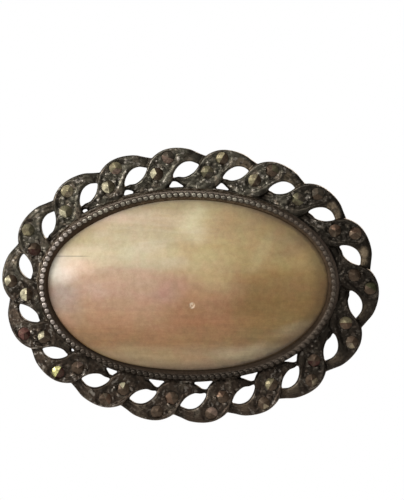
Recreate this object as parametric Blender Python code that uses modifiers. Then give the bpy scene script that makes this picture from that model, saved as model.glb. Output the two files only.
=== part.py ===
"""Oval brooch: a mother-of-pearl cabochon in a rub-over bezel, inside a cast openwork border.

The border is a rope of eighteen leaves. Each leaf starts as a thin root beside the bezel, swells into a
leaning body that carries two rose-cut marcasites, and ends in a tail that tucks under the next leaf.
A pin stem swings on a rivet behind the back plate and is held by a rolling safety catch.

The brooch is drawn face up, in its own flat frame: +X to the right, +Y up, +Z towards the viewer, with
the back of the setting at z = 0. One empty, brooch_frame, stands it upright, so in the world +Z is up,
the face looks along -Y and the garment is on the +Y side. The origin is the centre of the back.
"""

import math

import bmesh
import bpy
from mathutils import Matrix, Vector

# ---------------------------------------------------------------- driving dimensions (metres)
MM = 0.001
GAP = 0.04 * MM                      # joint line between pieces that are soldered or set together

# visible oval of the pearl: every ring around it is measured outwards from this edge
PEARL_HALF_WIDTH = 16.58 * MM
PEARL_HALF_HEIGHT = 10.09 * MM
PEARL_UNDER_LIP = 0.46 * MM          # how far the pearl's girdle runs on under the bezel's lip
PEARL_BASE = 1.28 * MM               # heights above the back of the setting
PEARL_GIRDLE_TOP = 1.85 * MM
PEARL_TOP = 3.90 * MM

PLATE_THICKNESS = 0.60 * MM
BEARER_HEIGHT = 0.60 * MM
BEARER_REACH = 0.90 * MM             # how far the bearer runs in under the pearl
BEZEL_OUTER = 1.22 * MM              # outer face of the bezel wall, from the pearl's edge
BEZEL_INNER = 0.50 * MM
SETTING_SHIFT = (-0.33 * MM, 0.08 * MM)    # the hand-made setting sits off the rope's middle
RAIL_WIDTH = 0.26 * MM               # smooth inner rail of the border
RAIL_HEIGHT = 1.45 * MM
RAIL_CHAMFER = 0.12 * MM
BEZEL_BAND = (0.64 * MM, 1.08 * MM, 2.55 * MM)    # raised band for the milled edge: from, to, height
BEZEL_WALL_TOP = 2.25 * MM              # where the wall's outer face starts to slope to the band
BEZEL_LIP_TOP = 2.24 * MM               # the lip's edge on the pearl: its upper and lower corner
BEZEL_LIP_UNDER = (0.02 * MM, 2.12 * MM)
BEZEL_SHOULDER = 2.02 * MM              # underside of the lip where it meets the wall

# the rope border runs along its own oval, the line through the middle of its openings
ROPE_HALF_WIDTH = 19.88 * MM
ROPE_HALF_HEIGHT = 13.83 * MM
LEAF_COUNT = 18
LEAF_SECTIONS = 18
LEAF_SINK = 0.15 * MM                   # how far a leaf is made below the back before trimming
CLOSED_GAPS = (1, 2, 3, 4, 5, 12, 13, 14)    # small openings by the rail that the casting closed
WEB_PLACE = (0.70, -1.90)               # middle of such a web: pitches on from its leaf, mm out
WEB_HALF_SIZE = (1.35 * MM, 0.55 * MM)
WEB_HEIGHT = 1.05 * MM
# Hand-made rope: how far each leaf strays clockwise from its even place, in pitches.
LEAF_DRIFT = (0.03, 0.01, -0.03, -0.03, -0.02, 0.0, 0.02, 0.02, 0.04,
              0.07, 0.08, 0.10, 0.04, 0.0, -0.04, -0.03, -0.02, 0.0)

# One leaf, as stations from root to tail. Each is (outer flank, inner flank, crown height), a flank
# being (pitches along the rope, mm out from the rope's oval) and the crown in mm above the back.
LEAF_STATIONS = (
    ((-0.42, -0.98), (-0.45, -1.36), 0.70),   # root, buried in the leaf before
    ((-0.28, -0.86), (-0.33, -1.44), 0.85),
    ((-0.15, -0.92), (-0.17, -2.02), 1.10),   # bridge between the two openings
    ((0.00, -0.52), (0.06, -2.36), 1.38),
    ((0.10, 0.12), (0.42, -2.32), 1.52),      # broad foot on the rail
    ((0.21, 1.30), (0.60, -1.50), 1.58),
    ((0.34, 2.00), (0.65, -0.50), 1.62),      # body
    ((0.52, 2.48), (0.74, 0.27), 1.62),
    ((0.73, 2.60), (0.86, 0.80), 1.48),
    ((0.97, 2.40), (1.00, 0.93), 1.25),       # tail over the opening
    ((1.15, 1.95), (1.12, 0.70), 1.02),
    ((1.30, 1.62), (1.22, 0.50), 0.80),       # tip, buried in the leaf after
)
FLANK_HEIGHT = 0.78                  # height of a leaf's edge, as a share of its crown
SHOULDER = 0.20                      # width of the slope from edge to crown, as a share of the leaf

# rose-cut marcasites: (pitches along the rope, mm out from its oval)
STONE_PLACES = ((0.31, -0.30), (0.57, 1.50))
STONE_RADIUS = 0.78 * MM
STONE_HEIGHT = 0.85 * MM
STONE_GIRDLE = 0.25 * MM             # lowest point of a facet above the stone's flat base
STONE_BASE = 0.88 * MM
STONE_FACETS = 6
STONE_SKIRT = 0.3 * MM                  # how far the facets run on below the base before the cut

# findings on the back: z runs down from the plate, towards the garment
PIN_LINE = 4.0 * MM                  # height of the pin above the brooch's centre
PIN_DEPTH = 2.2 * MM                 # pin axis behind the back plate
PIN_RADIUS = 0.45 * MM
PIN_POINT = 5.0 * MM                 # length of the ground point
PIN_TIP_X = 16.5 * MM
PIN_TIP_RADIUS = 0.10 * MM
PIN_TIP_ROUNDING = 0.15 * MM
PIN_SHOULDER_RADIUS = 0.72 * PIN_RADIUS # halfway along the ground point
EYE_RADIUS = 0.95 * MM
EYE_THICKNESS = 1.0 * MM
EYE_BORE = 0.45 * MM
HINGE_X = -13.8 * MM
RIVET_RADIUS = 0.40 * MM
RIVET_HEAD_RADIUS = 0.66 * MM
RIVET_HEAD = 0.28 * MM
RIVET_HEAD_EDGE = 0.10 * MM
RIVET_HEAD_FLAT = 0.7 * RIVET_HEAD_RADIUS
EAR_THICKNESS = 0.60 * MM
EAR_HOLE = 0.43 * MM
FOOT_THICKNESS = 0.50 * MM
JOINT_FOOT = (2.8 * MM, 3.6 * MM)
JOINT_EAR_ROOT = 1.25 * MM              # half width of an ear where it meets the foot
JOINT_EAR_SINK = 0.30 * MM              # depth of the ears' roots below the back
CATCH_FOOT = (2.6 * MM, 3.9 * MM)
CATCH_NECK = (1.9 * MM, 0.75 * MM)      # height and depth of the block between foot and housing
CATCH_NECK_DEPTH = 0.70 * MM            # its centre below the back

CATCH_X = 13.3 * MM
HOUSING_RADIUS = 1.70 * MM
HOUSING_LENGTH = 2.20 * MM
HOUSING_BORE = 1.20 * MM
HOUSING_MOUTH = 1.40 * MM
ROTOR_RADIUS = 1.15 * MM
ROTOR_BORE = 0.65 * MM
ROTOR_SLOT = 1.20 * MM
FLANGE_RADIUS = 1.55 * MM
FLANGE_THICKNESS = 0.40 * MM
RUNNING_GAP = 0.05 * MM
LEVER_REACH = 3.0 * MM
LEVER_WIDTH = 0.90 * MM
LEVER_ROOT = 0.9 * MM
LEVER_REST = math.radians(-70)       # from straight back, negative is down
THROUGH = 6.0 * MM                   # length of a cutter that goes right through a small piece
HALF_THROUGH = 3.0 * MM              # and of one that starts in its middle
FLUSH = 0.01 * MM                    # keeps joined faces from lying exactly on each other

SETTING_MIDDLE = (*SETTING_SHIFT, 0.0)
OVAL_STEPS = 72
DOME_STEP = 15                       # degrees between the rings of the pearl's dome
ROUND_STEPS = 32
BORE_STEPS = 24
PIN_STEPS = 20


# ---------------------------------------------------------------- scene, materials, collections
def clear_scene():
    for old in list(bpy.data.objects):
        bpy.data.objects.remove(old, do_unlink=True)


def new_collection(name):
    collection = bpy.data.collections.new(name)
    bpy.context.scene.collection.children.link(collection)
    return collection


def metal(name, colour, roughness, metallic=1.0):
    material = bpy.data.materials.new(name)
    material.use_nodes = True
    shader = material.node_tree.nodes["Principled BSDF"]
    shader.inputs["Base Color"].default_value = (*colour, 1.0)
    shader.inputs["Metallic"].default_value = metallic
    shader.inputs["Roughness"].default_value = roughness
    return material


def new_empty(name, location, parent=None):
    empty = bpy.data.objects.new(name, None)
    empty.location = location
    empty.parent = parent
    PARTS.objects.link(empty)
    return empty


def place(obj, collection, parent, location=(0, 0, 0), rotation=(0, 0, 0)):
    obj.location = location
    obj.rotation_euler = rotation
    obj.parent = parent
    collection.objects.link(obj)
    if collection == CUTTERS:
        obj.hide_render = True
        obj.display_type = "WIRE"
    return obj


def finish(obj, material, smooth_angle=30):
    """Give a part its material and shade its round faces smooth."""
    obj.data.materials.clear()
    obj.data.materials.append(material)
    if obj.type == "MESH":
        obj.data.shade_smooth()
        obj.data.set_sharp_from_angle(angle=math.radians(smooth_angle))
    return obj


# ---------------------------------------------------------------- small modelling helpers
def object_from_bmesh(name, bm):
    mesh = bpy.data.meshes.new(name)
    bm.to_mesh(mesh)
    bm.free()
    return bpy.data.objects.new(name, mesh)


def cylinder(name, radius, length, axis="Z", segments=ROUND_STEPS):
    turn = {"X": Matrix.Rotation(math.pi / 2, 4, "Y"),
            "Y": Matrix.Rotation(math.pi / 2, 4, "X"),
            "Z": Matrix.Identity(4)}[axis]
    bm = bmesh.new()
    bmesh.ops.create_cone(bm, cap_ends=True, segments=segments, radius1=radius, radius2=radius,
                          depth=length, matrix=turn)
    return object_from_bmesh(name, bm)


def box(name, size):
    bm = bmesh.new()
    bmesh.ops.create_cube(bm, size=1.0, matrix=Matrix.Diagonal((*size, 1.0)))
    return object_from_bmesh(name, bm)


def outline_curve(name, points):
    """A closed flat outline in the object's own XY plane."""
    curve = bpy.data.curves.new(name, "CURVE")
    curve.dimensions = "2D"
    spline = curve.splines.new("POLY")
    spline.points.add(len(points) - 1)
    for point, (x, y) in zip(spline.points, points):
        point.co = (x, y, 0.0, 1.0)
    spline.use_cyclic_u = True
    return curve


def mesh_from_curve(name, curve):
    """The evaluated curve as a welded mesh object; the curve itself is removed."""
    source = bpy.data.objects.new(name + "_curve", curve)
    bpy.context.scene.collection.objects.link(source)
    bpy.context.view_layer.update()
    evaluated = source.evaluated_get(bpy.context.evaluated_depsgraph_get())
    mesh = bpy.data.meshes.new_from_object(evaluated)
    mesh.name = name
    bm = bmesh.new()
    bm.from_mesh(mesh)
    bmesh.ops.remove_doubles(bm, verts=bm.verts, dist=0.001 * MM)
    bmesh.ops.recalc_face_normals(bm, faces=bm.faces)
    bmesh.ops.triangulate(bm, faces=bm.faces)
    bm.to_mesh(mesh)
    bm.free()
    bpy.data.objects.remove(source, do_unlink=True)
    bpy.data.curves.remove(curve)
    return bpy.data.objects.new(name, mesh)


def flat_plate(name, points, thickness):
    """A flat outline with thickness, centred on its own XY plane."""
    curve = outline_curve(name, points)
    curve.fill_mode = "BOTH"
    curve.extrude = thickness / 2
    return mesh_from_curve(name, curve)


def turned(name, profile, steps=ROUND_STEPS):
    """A profile of (radius, height) points, top to bottom, turned about Z."""
    mesh = bpy.data.meshes.new(name)
    edges = [(i, i + 1) for i in range(len(profile) - 1)]
    mesh.from_pydata([(radius, 0.0, height) for radius, height in profile], edges, [])
    obj = bpy.data.objects.new(name, mesh)
    screw = obj.modifiers.new("turn", "SCREW")
    screw.steps = steps
    screw.render_steps = steps
    screw.use_merge_vertices = True
    screw.merge_threshold = 0.001 * MM
    return obj


def boolean(obj, tool, operation, solver="EXACT"):
    modifier = obj.modifiers.new(f"{operation.lower()} {tool.name}", "BOOLEAN")
    modifier.operation = operation
    modifier.solver = solver
    modifier.object = tool


def join(obj, tool, solver="EXACT"):
    boolean(obj, tool, "UNION", solver)


def cut(obj, tool, solver="EXACT"):
    boolean(obj, tool, "DIFFERENCE", solver)


def oval(angle, half_width, half_height, out=0.0):
    """Point on an oval, clockwise from the top, moved out square to the oval's edge."""
    x = half_width * math.sin(angle)
    y = half_height * math.cos(angle)
    normal = Vector((half_height * math.sin(angle), half_width * math.cos(angle))).normalized()
    return x + normal.x * out, y + normal.y * out


def pearl_outline(out, steps=OVAL_STEPS):
    return [oval(2 * math.pi * i / steps, PEARL_HALF_WIDTH, PEARL_HALF_HEIGHT, out)
            for i in range(steps)]


def oval_ring(name, section):
    """Sweep a closed section round the pearl's edge; a point is (out from that edge, height)."""
    path = outline_curve(name, pearl_outline(0.0))
    inwards = [(-out, height) for out, height in section]    # a bevel's +X points into the oval
    profile_curve = outline_curve(name + "_section", inwards)
    profile = bpy.data.objects.new(name + "_section", profile_curve)
    bpy.context.scene.collection.objects.link(profile)
    path.bevel_mode = "OBJECT"
    path.bevel_object = profile
    ring = mesh_from_curve(name, path)
    bpy.data.objects.remove(profile, do_unlink=True)
    bpy.data.curves.remove(profile_curve)
    return ring


def arc_length_table(steps=720):
    """Running length of the rope's oval at equal steps of angle."""
    lengths = [0.0]
    last = Vector(oval(0.0, ROPE_HALF_WIDTH, ROPE_HALF_HEIGHT))
    for i in range(1, steps + 1):
        here = Vector(oval(2 * math.pi * i / steps, ROPE_HALF_WIDTH, ROPE_HALF_HEIGHT))
        lengths.append(lengths[-1] + (here - last).length)
        last = here
    return lengths


ARC_LENGTHS = arc_length_table()


def rope_point(pitches, out):
    """Point on the rope's oval, so many leaf pitches clockwise from the top and moved out."""
    steps = len(ARC_LENGTHS) - 1
    target = (pitches / LEAF_COUNT % 1.0) * ARC_LENGTHS[-1]
    low = 0
    high = steps
    while high - low > 1:
        middle = (low + high) // 2
        if ARC_LENGTHS[middle] <= target:
            low = middle
        else:
            high = middle
    share = (target - ARC_LENGTHS[low]) / (ARC_LENGTHS[high] - ARC_LENGTHS[low])
    return oval(2 * math.pi * (low + share) / steps, ROPE_HALF_WIDTH, ROPE_HALF_HEIGHT, out)


# ---------------------------------------------------------------- rope border
def smooth(before, start, end, after, share):
    """Catmull-Rom curve between start and end."""
    return 0.5 * (2 * start + (end - before) * share
                  + (2 * before - 5 * start + 4 * end - after) * share ** 2
                  + (3 * start - before - 3 * end + after) * share ** 3)


def leaf_section(position):
    """Leaf flanks and crown at a position from 0 at the root to 1 at the tip."""
    flat = [(*outer, *inner, crown) for outer, inner, crown in LEAF_STATIONS]
    place_in_list = position * (len(flat) - 1)
    i = min(int(place_in_list), len(flat) - 2)
    share = place_in_list - i
    rows = (flat[max(i - 1, 0)], flat[i], flat[i + 1], flat[min(i + 2, len(flat) - 1)])
    values = [smooth(*(row[column] for row in rows), share) for column in range(5)]
    return values[0:2], values[2:4], values[4] * MM


def leaf(number):
    """One leaf: a loft of crowned sections from its outer flank to its inner flank."""
    floor = -LEAF_SINK * (1 + number % 3)        # trimmed flush later; staggered so floors differ
    bm = bmesh.new()
    rings = []
    for i in range(LEAF_SECTIONS):
        outer, inner, crown = leaf_section(i / (LEAF_SECTIONS - 1))
        edge = crown * FLANK_HEIGHT
        across = ((0.0, floor), (0.0, edge), (SHOULDER, crown),
                  (1 - SHOULDER, crown), (1.0, edge), (1.0, floor))
        ring = []
        for share, height in across:
            along = outer[0] + (inner[0] - outer[0]) * share
            out = outer[1] + (inner[1] - outer[1]) * share
            x, y = rope_point(number + LEAF_DRIFT[number] + along, out * MM)
            ring.append(bm.verts.new((x, y, height)))
        rings.append(ring)
    for ring, following in zip(rings, rings[1:]):
        for j in range(len(ring)):
            k = (j + 1) % len(ring)
            bm.faces.new((ring[j], ring[k], following[k], following[j]))
    bm.faces.new(rings[0])
    bm.faces.new(rings[-1])
    bmesh.ops.recalc_face_normals(bm, faces=bm.faces)
    bmesh.ops.triangulate(bm, faces=bm.faces)        # its four-sided faces aren't flat
    return object_from_bmesh(f"leaf_{number + 1:02d}", bm)


def web(number):
    """Low web that closes the small opening between a leaf, the next one and the rail."""
    along, out = WEB_PLACE
    x, y = rope_point(number + LEAF_DRIFT[number] + along, out * MM)
    next_x, next_y = rope_point(number + LEAF_DRIFT[number] + along + 0.1, out * MM)
    turn = Matrix.Rotation(math.atan2(next_y - y, next_x - x), 4, "Z")
    bm = bmesh.new()
    bmesh.ops.create_cone(bm, cap_ends=True, segments=BORE_STEPS, radius1=1.0, radius2=1.0,
                          depth=2 * WEB_HEIGHT, matrix=Matrix.Translation((x, y, 0)) @ turn
                          @ Matrix.Diagonal((*WEB_HALF_SIZE, 1.0, 1.0)))
    return object_from_bmesh(f"web_{number + 1:02d}", bm)


def stone_positions():
    return [rope_point(number + LEAF_DRIFT[number] + along, out * MM)
            for number in range(LEAF_COUNT) for along, out in STONE_PLACES]


def stone_seats():
    """Blind round seats for all the marcasites, as one cutter."""
    floor = STONE_BASE - GAP
    depth = 2.0 * MM
    bm = bmesh.new()
    for x, y in stone_positions():
        bmesh.ops.create_cone(bm, cap_ends=True, segments=12, radius1=STONE_RADIUS + GAP,
                              radius2=STONE_RADIUS + GAP, depth=depth,
                              matrix=Matrix.Translation((x, y, floor + depth / 2)))
    return object_from_bmesh("stone_seats", bm)


def rope_border():
    inner = BEZEL_OUTER + GAP
    outer = inner + RAIL_WIDTH
    overlap = inner - 0.5 * RAIL_WIDTH      # cut away again by the bezel's opening
    floor = -4 * LEAF_SINK
    border = oval_ring("rope_border", ((overlap, floor), (outer, floor),
                                       (outer, RAIL_HEIGHT - RAIL_CHAMFER),
                                       (outer - RAIL_CHAMFER, RAIL_HEIGHT),
                                       (overlap, RAIL_HEIGHT)))
    place(border, PARTS, FRAME, SETTING_MIDDLE)
    for number in range(LEAF_COUNT):
        join(border, place(leaf(number), CUTTERS, FRAME), "MANIFOLD")
    for number in CLOSED_GAPS:
        join(border, place(web(number), CUTTERS, FRAME), "MANIFOLD")
    cut(border, place(stone_seats(), CUTTERS, FRAME), "MANIFOLD")
    opening = flat_plate("bezel_opening", pearl_outline(inner), 2 * PEARL_TOP)
    cut(border, place(opening, CUTTERS, FRAME, SETTING_MIDDLE), "MANIFOLD")
    below = box("below_back", (4 * ROPE_HALF_WIDTH, 4 * ROPE_HALF_HEIGHT, 2 * PEARL_TOP))
    cut(border, place(below, CUTTERS, FRAME, (0, 0, -PEARL_TOP)), "MANIFOLD")
    return finish(border, SILVER)


# ---------------------------------------------------------------- setting of the pearl
def bezel():
    """Rub-over bezel: an upright wall, a raised band for the milled edge, and a sloping lip."""
    base = PLATE_THICKNESS + GAP
    band_inner, band_outer, band_height = BEZEL_BAND
    section = ((BEZEL_OUTER, base), (BEZEL_OUTER, BEZEL_WALL_TOP), (band_outer, band_height),
               (band_inner, band_height), (0.0, BEZEL_LIP_TOP), BEZEL_LIP_UNDER,
               (BEZEL_INNER, BEZEL_SHOULDER), (BEZEL_INNER, base))
    return finish(place(oval_ring("bezel", section), PARTS, FRAME, SETTING_MIDDLE), SILVER)


def bearing_ring():
    """Inner bearer: the shelf that the pearl's edge rests on."""
    base = PLATE_THICKNESS + GAP
    outer = BEZEL_INNER - GAP
    section = ((-BEARER_REACH, base), (outer, base), (outer, base + BEARER_HEIGHT),
               (-BEARER_REACH, base + BEARER_HEIGHT))
    ring = place(oval_ring("bearing_ring", section), PARTS, FRAME, SETTING_MIDDLE)
    return finish(ring, SILVER)


def back_plate():
    """Oval plate, with an edge across its middle that parts the lower half from the findings' half."""
    half_width = PEARL_HALF_WIDTH + BEZEL_OUTER
    half_height = PEARL_HALF_HEIGHT + BEZEL_OUTER
    bm = bmesh.new()
    shape = Matrix.Translation((0, 0, PLATE_THICKNESS / 2)) @ Matrix.Diagonal(
        (half_width, half_height, 1.0, 1.0))
    bmesh.ops.create_cone(bm, cap_ends=True, segments=OVAL_STEPS, radius1=1.0, radius2=1.0,
                          depth=PLATE_THICKNESS, matrix=shape)
    bmesh.ops.bisect_plane(bm, geom=bm.verts[:] + bm.edges[:] + bm.faces[:], dist=0.0001 * MM,
                           plane_co=(0, 0, 0), plane_no=(0, 1, 0))
    plate = place(object_from_bmesh("back_plate", bm), PARTS, FRAME, SETTING_MIDDLE)
    return finish(plate, SILVER)


def cabochon():
    """Domed oval of mother-of-pearl: a turned profile stretched to the oval."""
    crown = PEARL_TOP - PEARL_GIRDLE_TOP
    radii = [math.sin(math.radians(angle)) for angle in range(0, 91, DOME_STEP)]
    profile = [(radius, PEARL_TOP - crown * radius ** 2) for radius in radii]
    profile += [(1.0, PEARL_BASE), (0.0, PEARL_BASE)]
    pearl = place(turned("cabochon", profile, OVAL_STEPS), PARTS, FRAME, SETTING_MIDDLE)
    pearl.scale = (PEARL_HALF_WIDTH + PEARL_UNDER_LIP, PEARL_HALF_HEIGHT + PEARL_UNDER_LIP, 1.0)
    return finish(pearl, NACRE)


# ---------------------------------------------------------------- marcasites
def marcasite_mesh():
    """Rose cut: a round girdle under six facets that meet in a point."""
    slope = (STONE_HEIGHT - STONE_GIRDLE) / STONE_RADIUS
    flat_to_flat = (STONE_HEIGHT + STONE_SKIRT) / slope
    corner = flat_to_flat / math.cos(math.pi / STONE_FACETS)
    bm = bmesh.new()
    bmesh.ops.create_cone(bm, cap_ends=True, segments=STONE_FACETS, radius1=corner, radius2=0.0,
                          depth=STONE_HEIGHT + STONE_SKIRT,
                          matrix=Matrix.Translation((0, 0, (STONE_HEIGHT - STONE_SKIRT) / 2)))
    bmesh.ops.remove_doubles(bm, verts=bm.verts, dist=0.001 * MM)
    stone = place(object_from_bmesh("marcasite_blank", bm), CUTTERS, None)
    blank = cylinder("marcasite_girdle", STONE_RADIUS, THROUGH, segments=2 * STONE_FACETS)
    girdle = place(blank, CUTTERS, None, (0, 0, THROUGH / 2))
    boolean(stone, girdle, "INTERSECT")
    bpy.context.view_layer.update()
    evaluated = stone.evaluated_get(bpy.context.evaluated_depsgraph_get())
    mesh = bpy.data.meshes.new_from_object(evaluated)
    mesh.name = "marcasite"
    mesh.materials.clear()
    mesh.materials.append(MARCASITE)
    bpy.data.objects.remove(stone, do_unlink=True)
    bpy.data.objects.remove(girdle, do_unlink=True)
    return mesh


def marcasites():
    mesh = marcasite_mesh()
    for i, (x, y) in enumerate(stone_positions()):
        stone = bpy.data.objects.new(f"marcasite_{i + 1:02d}", mesh)
        outward = math.atan2(y, x)
        place(stone, PARTS, FRAME, (x, y, STONE_BASE), (0, 0, outward))


# ---------------------------------------------------------------- pin, hinge and catch
def back_point(x, y, depth):
    """A point behind the back plate."""
    return Vector((x, y, -depth))


def joint_base():
    """Soldered foot with two ears that carry the pin's rivet."""
    foot = box("joint_base", (*JOINT_FOOT, FOOT_THICKNESS))
    place(foot, PARTS, FRAME, back_point(HINGE_X, PIN_LINE, GAP + FOOT_THICKNESS / 2))
    root = JOINT_EAR_SINK - PIN_DEPTH
    arc = [(EYE_RADIUS * math.cos(math.radians(angle)), EYE_RADIUS * math.sin(math.radians(angle)))
           for angle in range(0, 181, 15)]
    ear_outline = arc + [(-JOINT_EAR_ROOT, root), (JOINT_EAR_ROOT, root)]
    for side, name in ((1, "ear_upper"), (-1, "ear_lower")):
        ear = flat_plate(name, ear_outline, EAR_THICKNESS)
        middle = EYE_THICKNESS / 2 + RUNNING_GAP + EAR_THICKNESS / 2
        centre = back_point(HINGE_X, PIN_LINE + side * middle, PIN_DEPTH)
        join(foot, place(ear, CUTTERS, FRAME, centre, (-math.pi / 2, 0, 0)))
    hole = cylinder("rivet_hole", EAR_HOLE, THROUGH, "Y", BORE_STEPS)
    cut(foot, place(hole, CUTTERS, FRAME, back_point(HINGE_X, PIN_LINE, PIN_DEPTH)))
    return finish(foot, STEEL)


def hinge_rivet():
    """Headed at both ends, through both ears and the pin's eye."""
    grip = EYE_THICKNESS / 2 + RUNNING_GAP + EAR_THICKNESS + GAP
    end = grip + RIVET_HEAD
    upper = ((0.0, end), (RIVET_HEAD_FLAT, end), (RIVET_HEAD_RADIUS, grip + RIVET_HEAD_EDGE),
             (RIVET_HEAD_RADIUS, grip), (RIVET_RADIUS, grip))
    lower = tuple((radius, -height) for radius, height in reversed(upper))
    rivet = turned("hinge_rivet", upper + lower, BORE_STEPS)
    place(rivet, PARTS, FRAME, back_point(HINGE_X, PIN_LINE, PIN_DEPTH), (math.pi / 2, 0, 0))
    return finish(rivet, STEEL)


def pin_stem():
    """Round wire with a ground point and an eye, swinging on the rivet."""
    axis = new_empty("pin_axis", back_point(HINGE_X, PIN_LINE, PIN_DEPTH), FRAME)
    start = (EYE_BORE + EYE_RADIUS) / 2
    length = PIN_TIP_X - HINGE_X
    profile = ((0.0, length), (PIN_TIP_RADIUS, length - PIN_TIP_ROUNDING),
               (PIN_SHOULDER_RADIUS, length - PIN_POINT / 2), (PIN_RADIUS, length - PIN_POINT),
               (PIN_RADIUS, start), (0.0, start))
    pin = turned("pin_stem", profile, PIN_STEPS)
    place(pin, PARTS, axis, (0, 0, 0), (0, math.pi / 2, 0))
    eye = cylinder("pin_eye", EYE_RADIUS, EYE_THICKNESS, "Y")
    join(pin, place(eye, CUTTERS, axis))
    bore = cylinder("pin_eye_bore", EYE_BORE, THROUGH, "Y", BORE_STEPS)
    cut(pin, place(bore, CUTTERS, axis))
    return finish(pin, STEEL)


def catch_base():
    """Foot and C-shaped housing, open straight away from the back so that the pin can leave."""
    centre = back_point(CATCH_X, PIN_LINE, PIN_DEPTH)
    housing = cylinder("catch_base", HOUSING_RADIUS, HOUSING_LENGTH, "X")
    place(housing, PARTS, FRAME, centre)
    foot = box("catch_foot", (*CATCH_FOOT, FOOT_THICKNESS))
    neck = box("catch_neck", (HOUSING_LENGTH - 2 * FLUSH, *CATCH_NECK))
    join(housing, place(foot, CUTTERS, FRAME,
                        back_point(CATCH_X, PIN_LINE, GAP + FOOT_THICKNESS / 2)))
    join(housing, place(neck, CUTTERS, FRAME, back_point(CATCH_X, PIN_LINE, CATCH_NECK_DEPTH)))
    bore = cylinder("housing_bore", HOUSING_BORE, THROUGH, "X")
    mouth = box("housing_mouth", (THROUGH, HOUSING_MOUTH, HALF_THROUGH))
    cut(housing, place(bore, CUTTERS, FRAME, centre))
    cut(housing, place(mouth, CUTTERS, FRAME, centre - Vector((0, 0, HALF_THROUGH / 2))))
    return finish(housing, STEEL)


def catch_rotor():
    """Slotted sleeve that rolls inside the housing, with a flange at each end and a thumb lever."""
    axis = new_empty("catch_axis", back_point(CATCH_X, PIN_LINE, PIN_DEPTH), FRAME)
    reach = HOUSING_LENGTH / 2 + RUNNING_GAP + FLANGE_THICKNESS
    middle = reach - FLANGE_THICKNESS / 2
    rotor = cylinder("catch_rotor", ROTOR_RADIUS, 2 * (reach - FLUSH), "X")
    place(rotor, PARTS, axis)
    for side, name in ((1, "flange_outer"), (-1, "flange_inner")):
        flange = cylinder(name, FLANGE_RADIUS, FLANGE_THICKNESS, "X")
        join(rotor, place(flange, CUTTERS, axis, (side * middle, 0, 0)))
    half = LEVER_WIDTH / 2
    tip = [(half * math.cos(math.radians(angle)), half * math.sin(math.radians(angle)))
           for angle in range(0, 181, 20)]
    outline = [(x, LEVER_REACH - half + y) for x, y in tip] + [(-half, LEVER_ROOT), (half, LEVER_ROOT)]
    lever = flat_plate("thumb_lever", outline, FLANGE_THICKNESS * 0.9)
    turn = Matrix.Rotation(LEVER_REST, 4, "X") @ Matrix(
        ((0, 0, 1, 0), (-1, 0, 0, 0), (0, -1, 0, 0), (0, 0, 0, 1)))
    place(lever, CUTTERS, axis, (middle, 0, 0), turn.to_euler())
    join(rotor, lever)
    bore = cylinder("rotor_bore", ROTOR_BORE, THROUGH, "X", BORE_STEPS)
    slot = box("rotor_slot", (THROUGH, ROTOR_SLOT, HALF_THROUGH))
    cut(rotor, place(bore, CUTTERS, axis))
    cut(rotor, place(slot, CUTTERS, axis, (0, 0, -HALF_THROUGH / 2)))
    return finish(rotor, STEEL)


# ---------------------------------------------------------------- build
clear_scene()
PARTS = new_collection("brooch")
CUTTERS = new_collection("brooch_cutters")

SILVER = metal("oxidised_silver", (0.16, 0.145, 0.13), 0.42)
STEEL = metal("nickel_silver", (0.42, 0.41, 0.38), 0.32)
NACRE = metal("mother_of_pearl", (0.66, 0.56, 0.44), 0.16, metallic=0.0)
MARCASITE = metal("marcasite", (0.34, 0.31, 0.22), 0.18)

FRAME = new_empty("brooch_frame", (0, 0, 0))
FRAME.rotation_euler = (math.pi / 2, 0, 0)

rope_border()
bezel()
bearing_ring()
back_plate()
cabochon()
marcasites()
joint_base()
hinge_rivet()
pin_stem()
catch_base()
catch_rotor()
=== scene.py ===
"""Oval brooch: mother-of-pearl in a milled bezel, inside a cast rope of leaves set with marcasites.

The shapes are worked out in millimetres in a flat frame: +X right, +Y up, +Z towards the viewer,
with the back of the setting at Z = 0. stand_up() stands them up in the frame of the CAD model.
"""
import math
import random

import bmesh
import bpy
import numpy as np
from mathutils import Matrix, Vector

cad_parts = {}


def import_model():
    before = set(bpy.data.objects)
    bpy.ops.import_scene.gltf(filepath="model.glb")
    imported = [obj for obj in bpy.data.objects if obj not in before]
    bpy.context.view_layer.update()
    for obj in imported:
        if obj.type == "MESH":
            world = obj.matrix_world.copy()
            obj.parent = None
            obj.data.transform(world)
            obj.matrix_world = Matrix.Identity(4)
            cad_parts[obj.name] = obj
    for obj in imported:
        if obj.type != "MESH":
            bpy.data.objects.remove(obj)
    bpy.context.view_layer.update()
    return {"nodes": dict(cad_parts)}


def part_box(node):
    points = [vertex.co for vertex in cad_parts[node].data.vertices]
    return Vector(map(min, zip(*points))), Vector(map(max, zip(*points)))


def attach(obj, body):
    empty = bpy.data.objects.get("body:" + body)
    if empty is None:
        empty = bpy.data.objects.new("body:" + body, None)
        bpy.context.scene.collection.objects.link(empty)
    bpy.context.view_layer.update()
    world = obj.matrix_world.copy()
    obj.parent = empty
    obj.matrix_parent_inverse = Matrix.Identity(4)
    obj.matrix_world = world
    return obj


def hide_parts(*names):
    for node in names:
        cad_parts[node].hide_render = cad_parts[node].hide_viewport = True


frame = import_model()

MM = 0.001
FLAT_TO_WORLD = Matrix(((MM, 0, 0, 0), (0, 0, -MM, 0), (0, MM, 0, 0), (0, 0, 0, 1)))


def node_size(node):
    """Half width, half height and front face of a CAD node, in millimetres."""
    low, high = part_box(node)
    return (high.x - low.x) / 2 / MM, (high.z - low.z) / 2 / MM, -low.y / MM


def node_middle(node):
    """Middle of a CAD node, across and up, in millimetres."""
    low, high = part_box(node)
    return (high.x + low.x) / 2 / MM, (high.z + low.z) / 2 / MM


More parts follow.
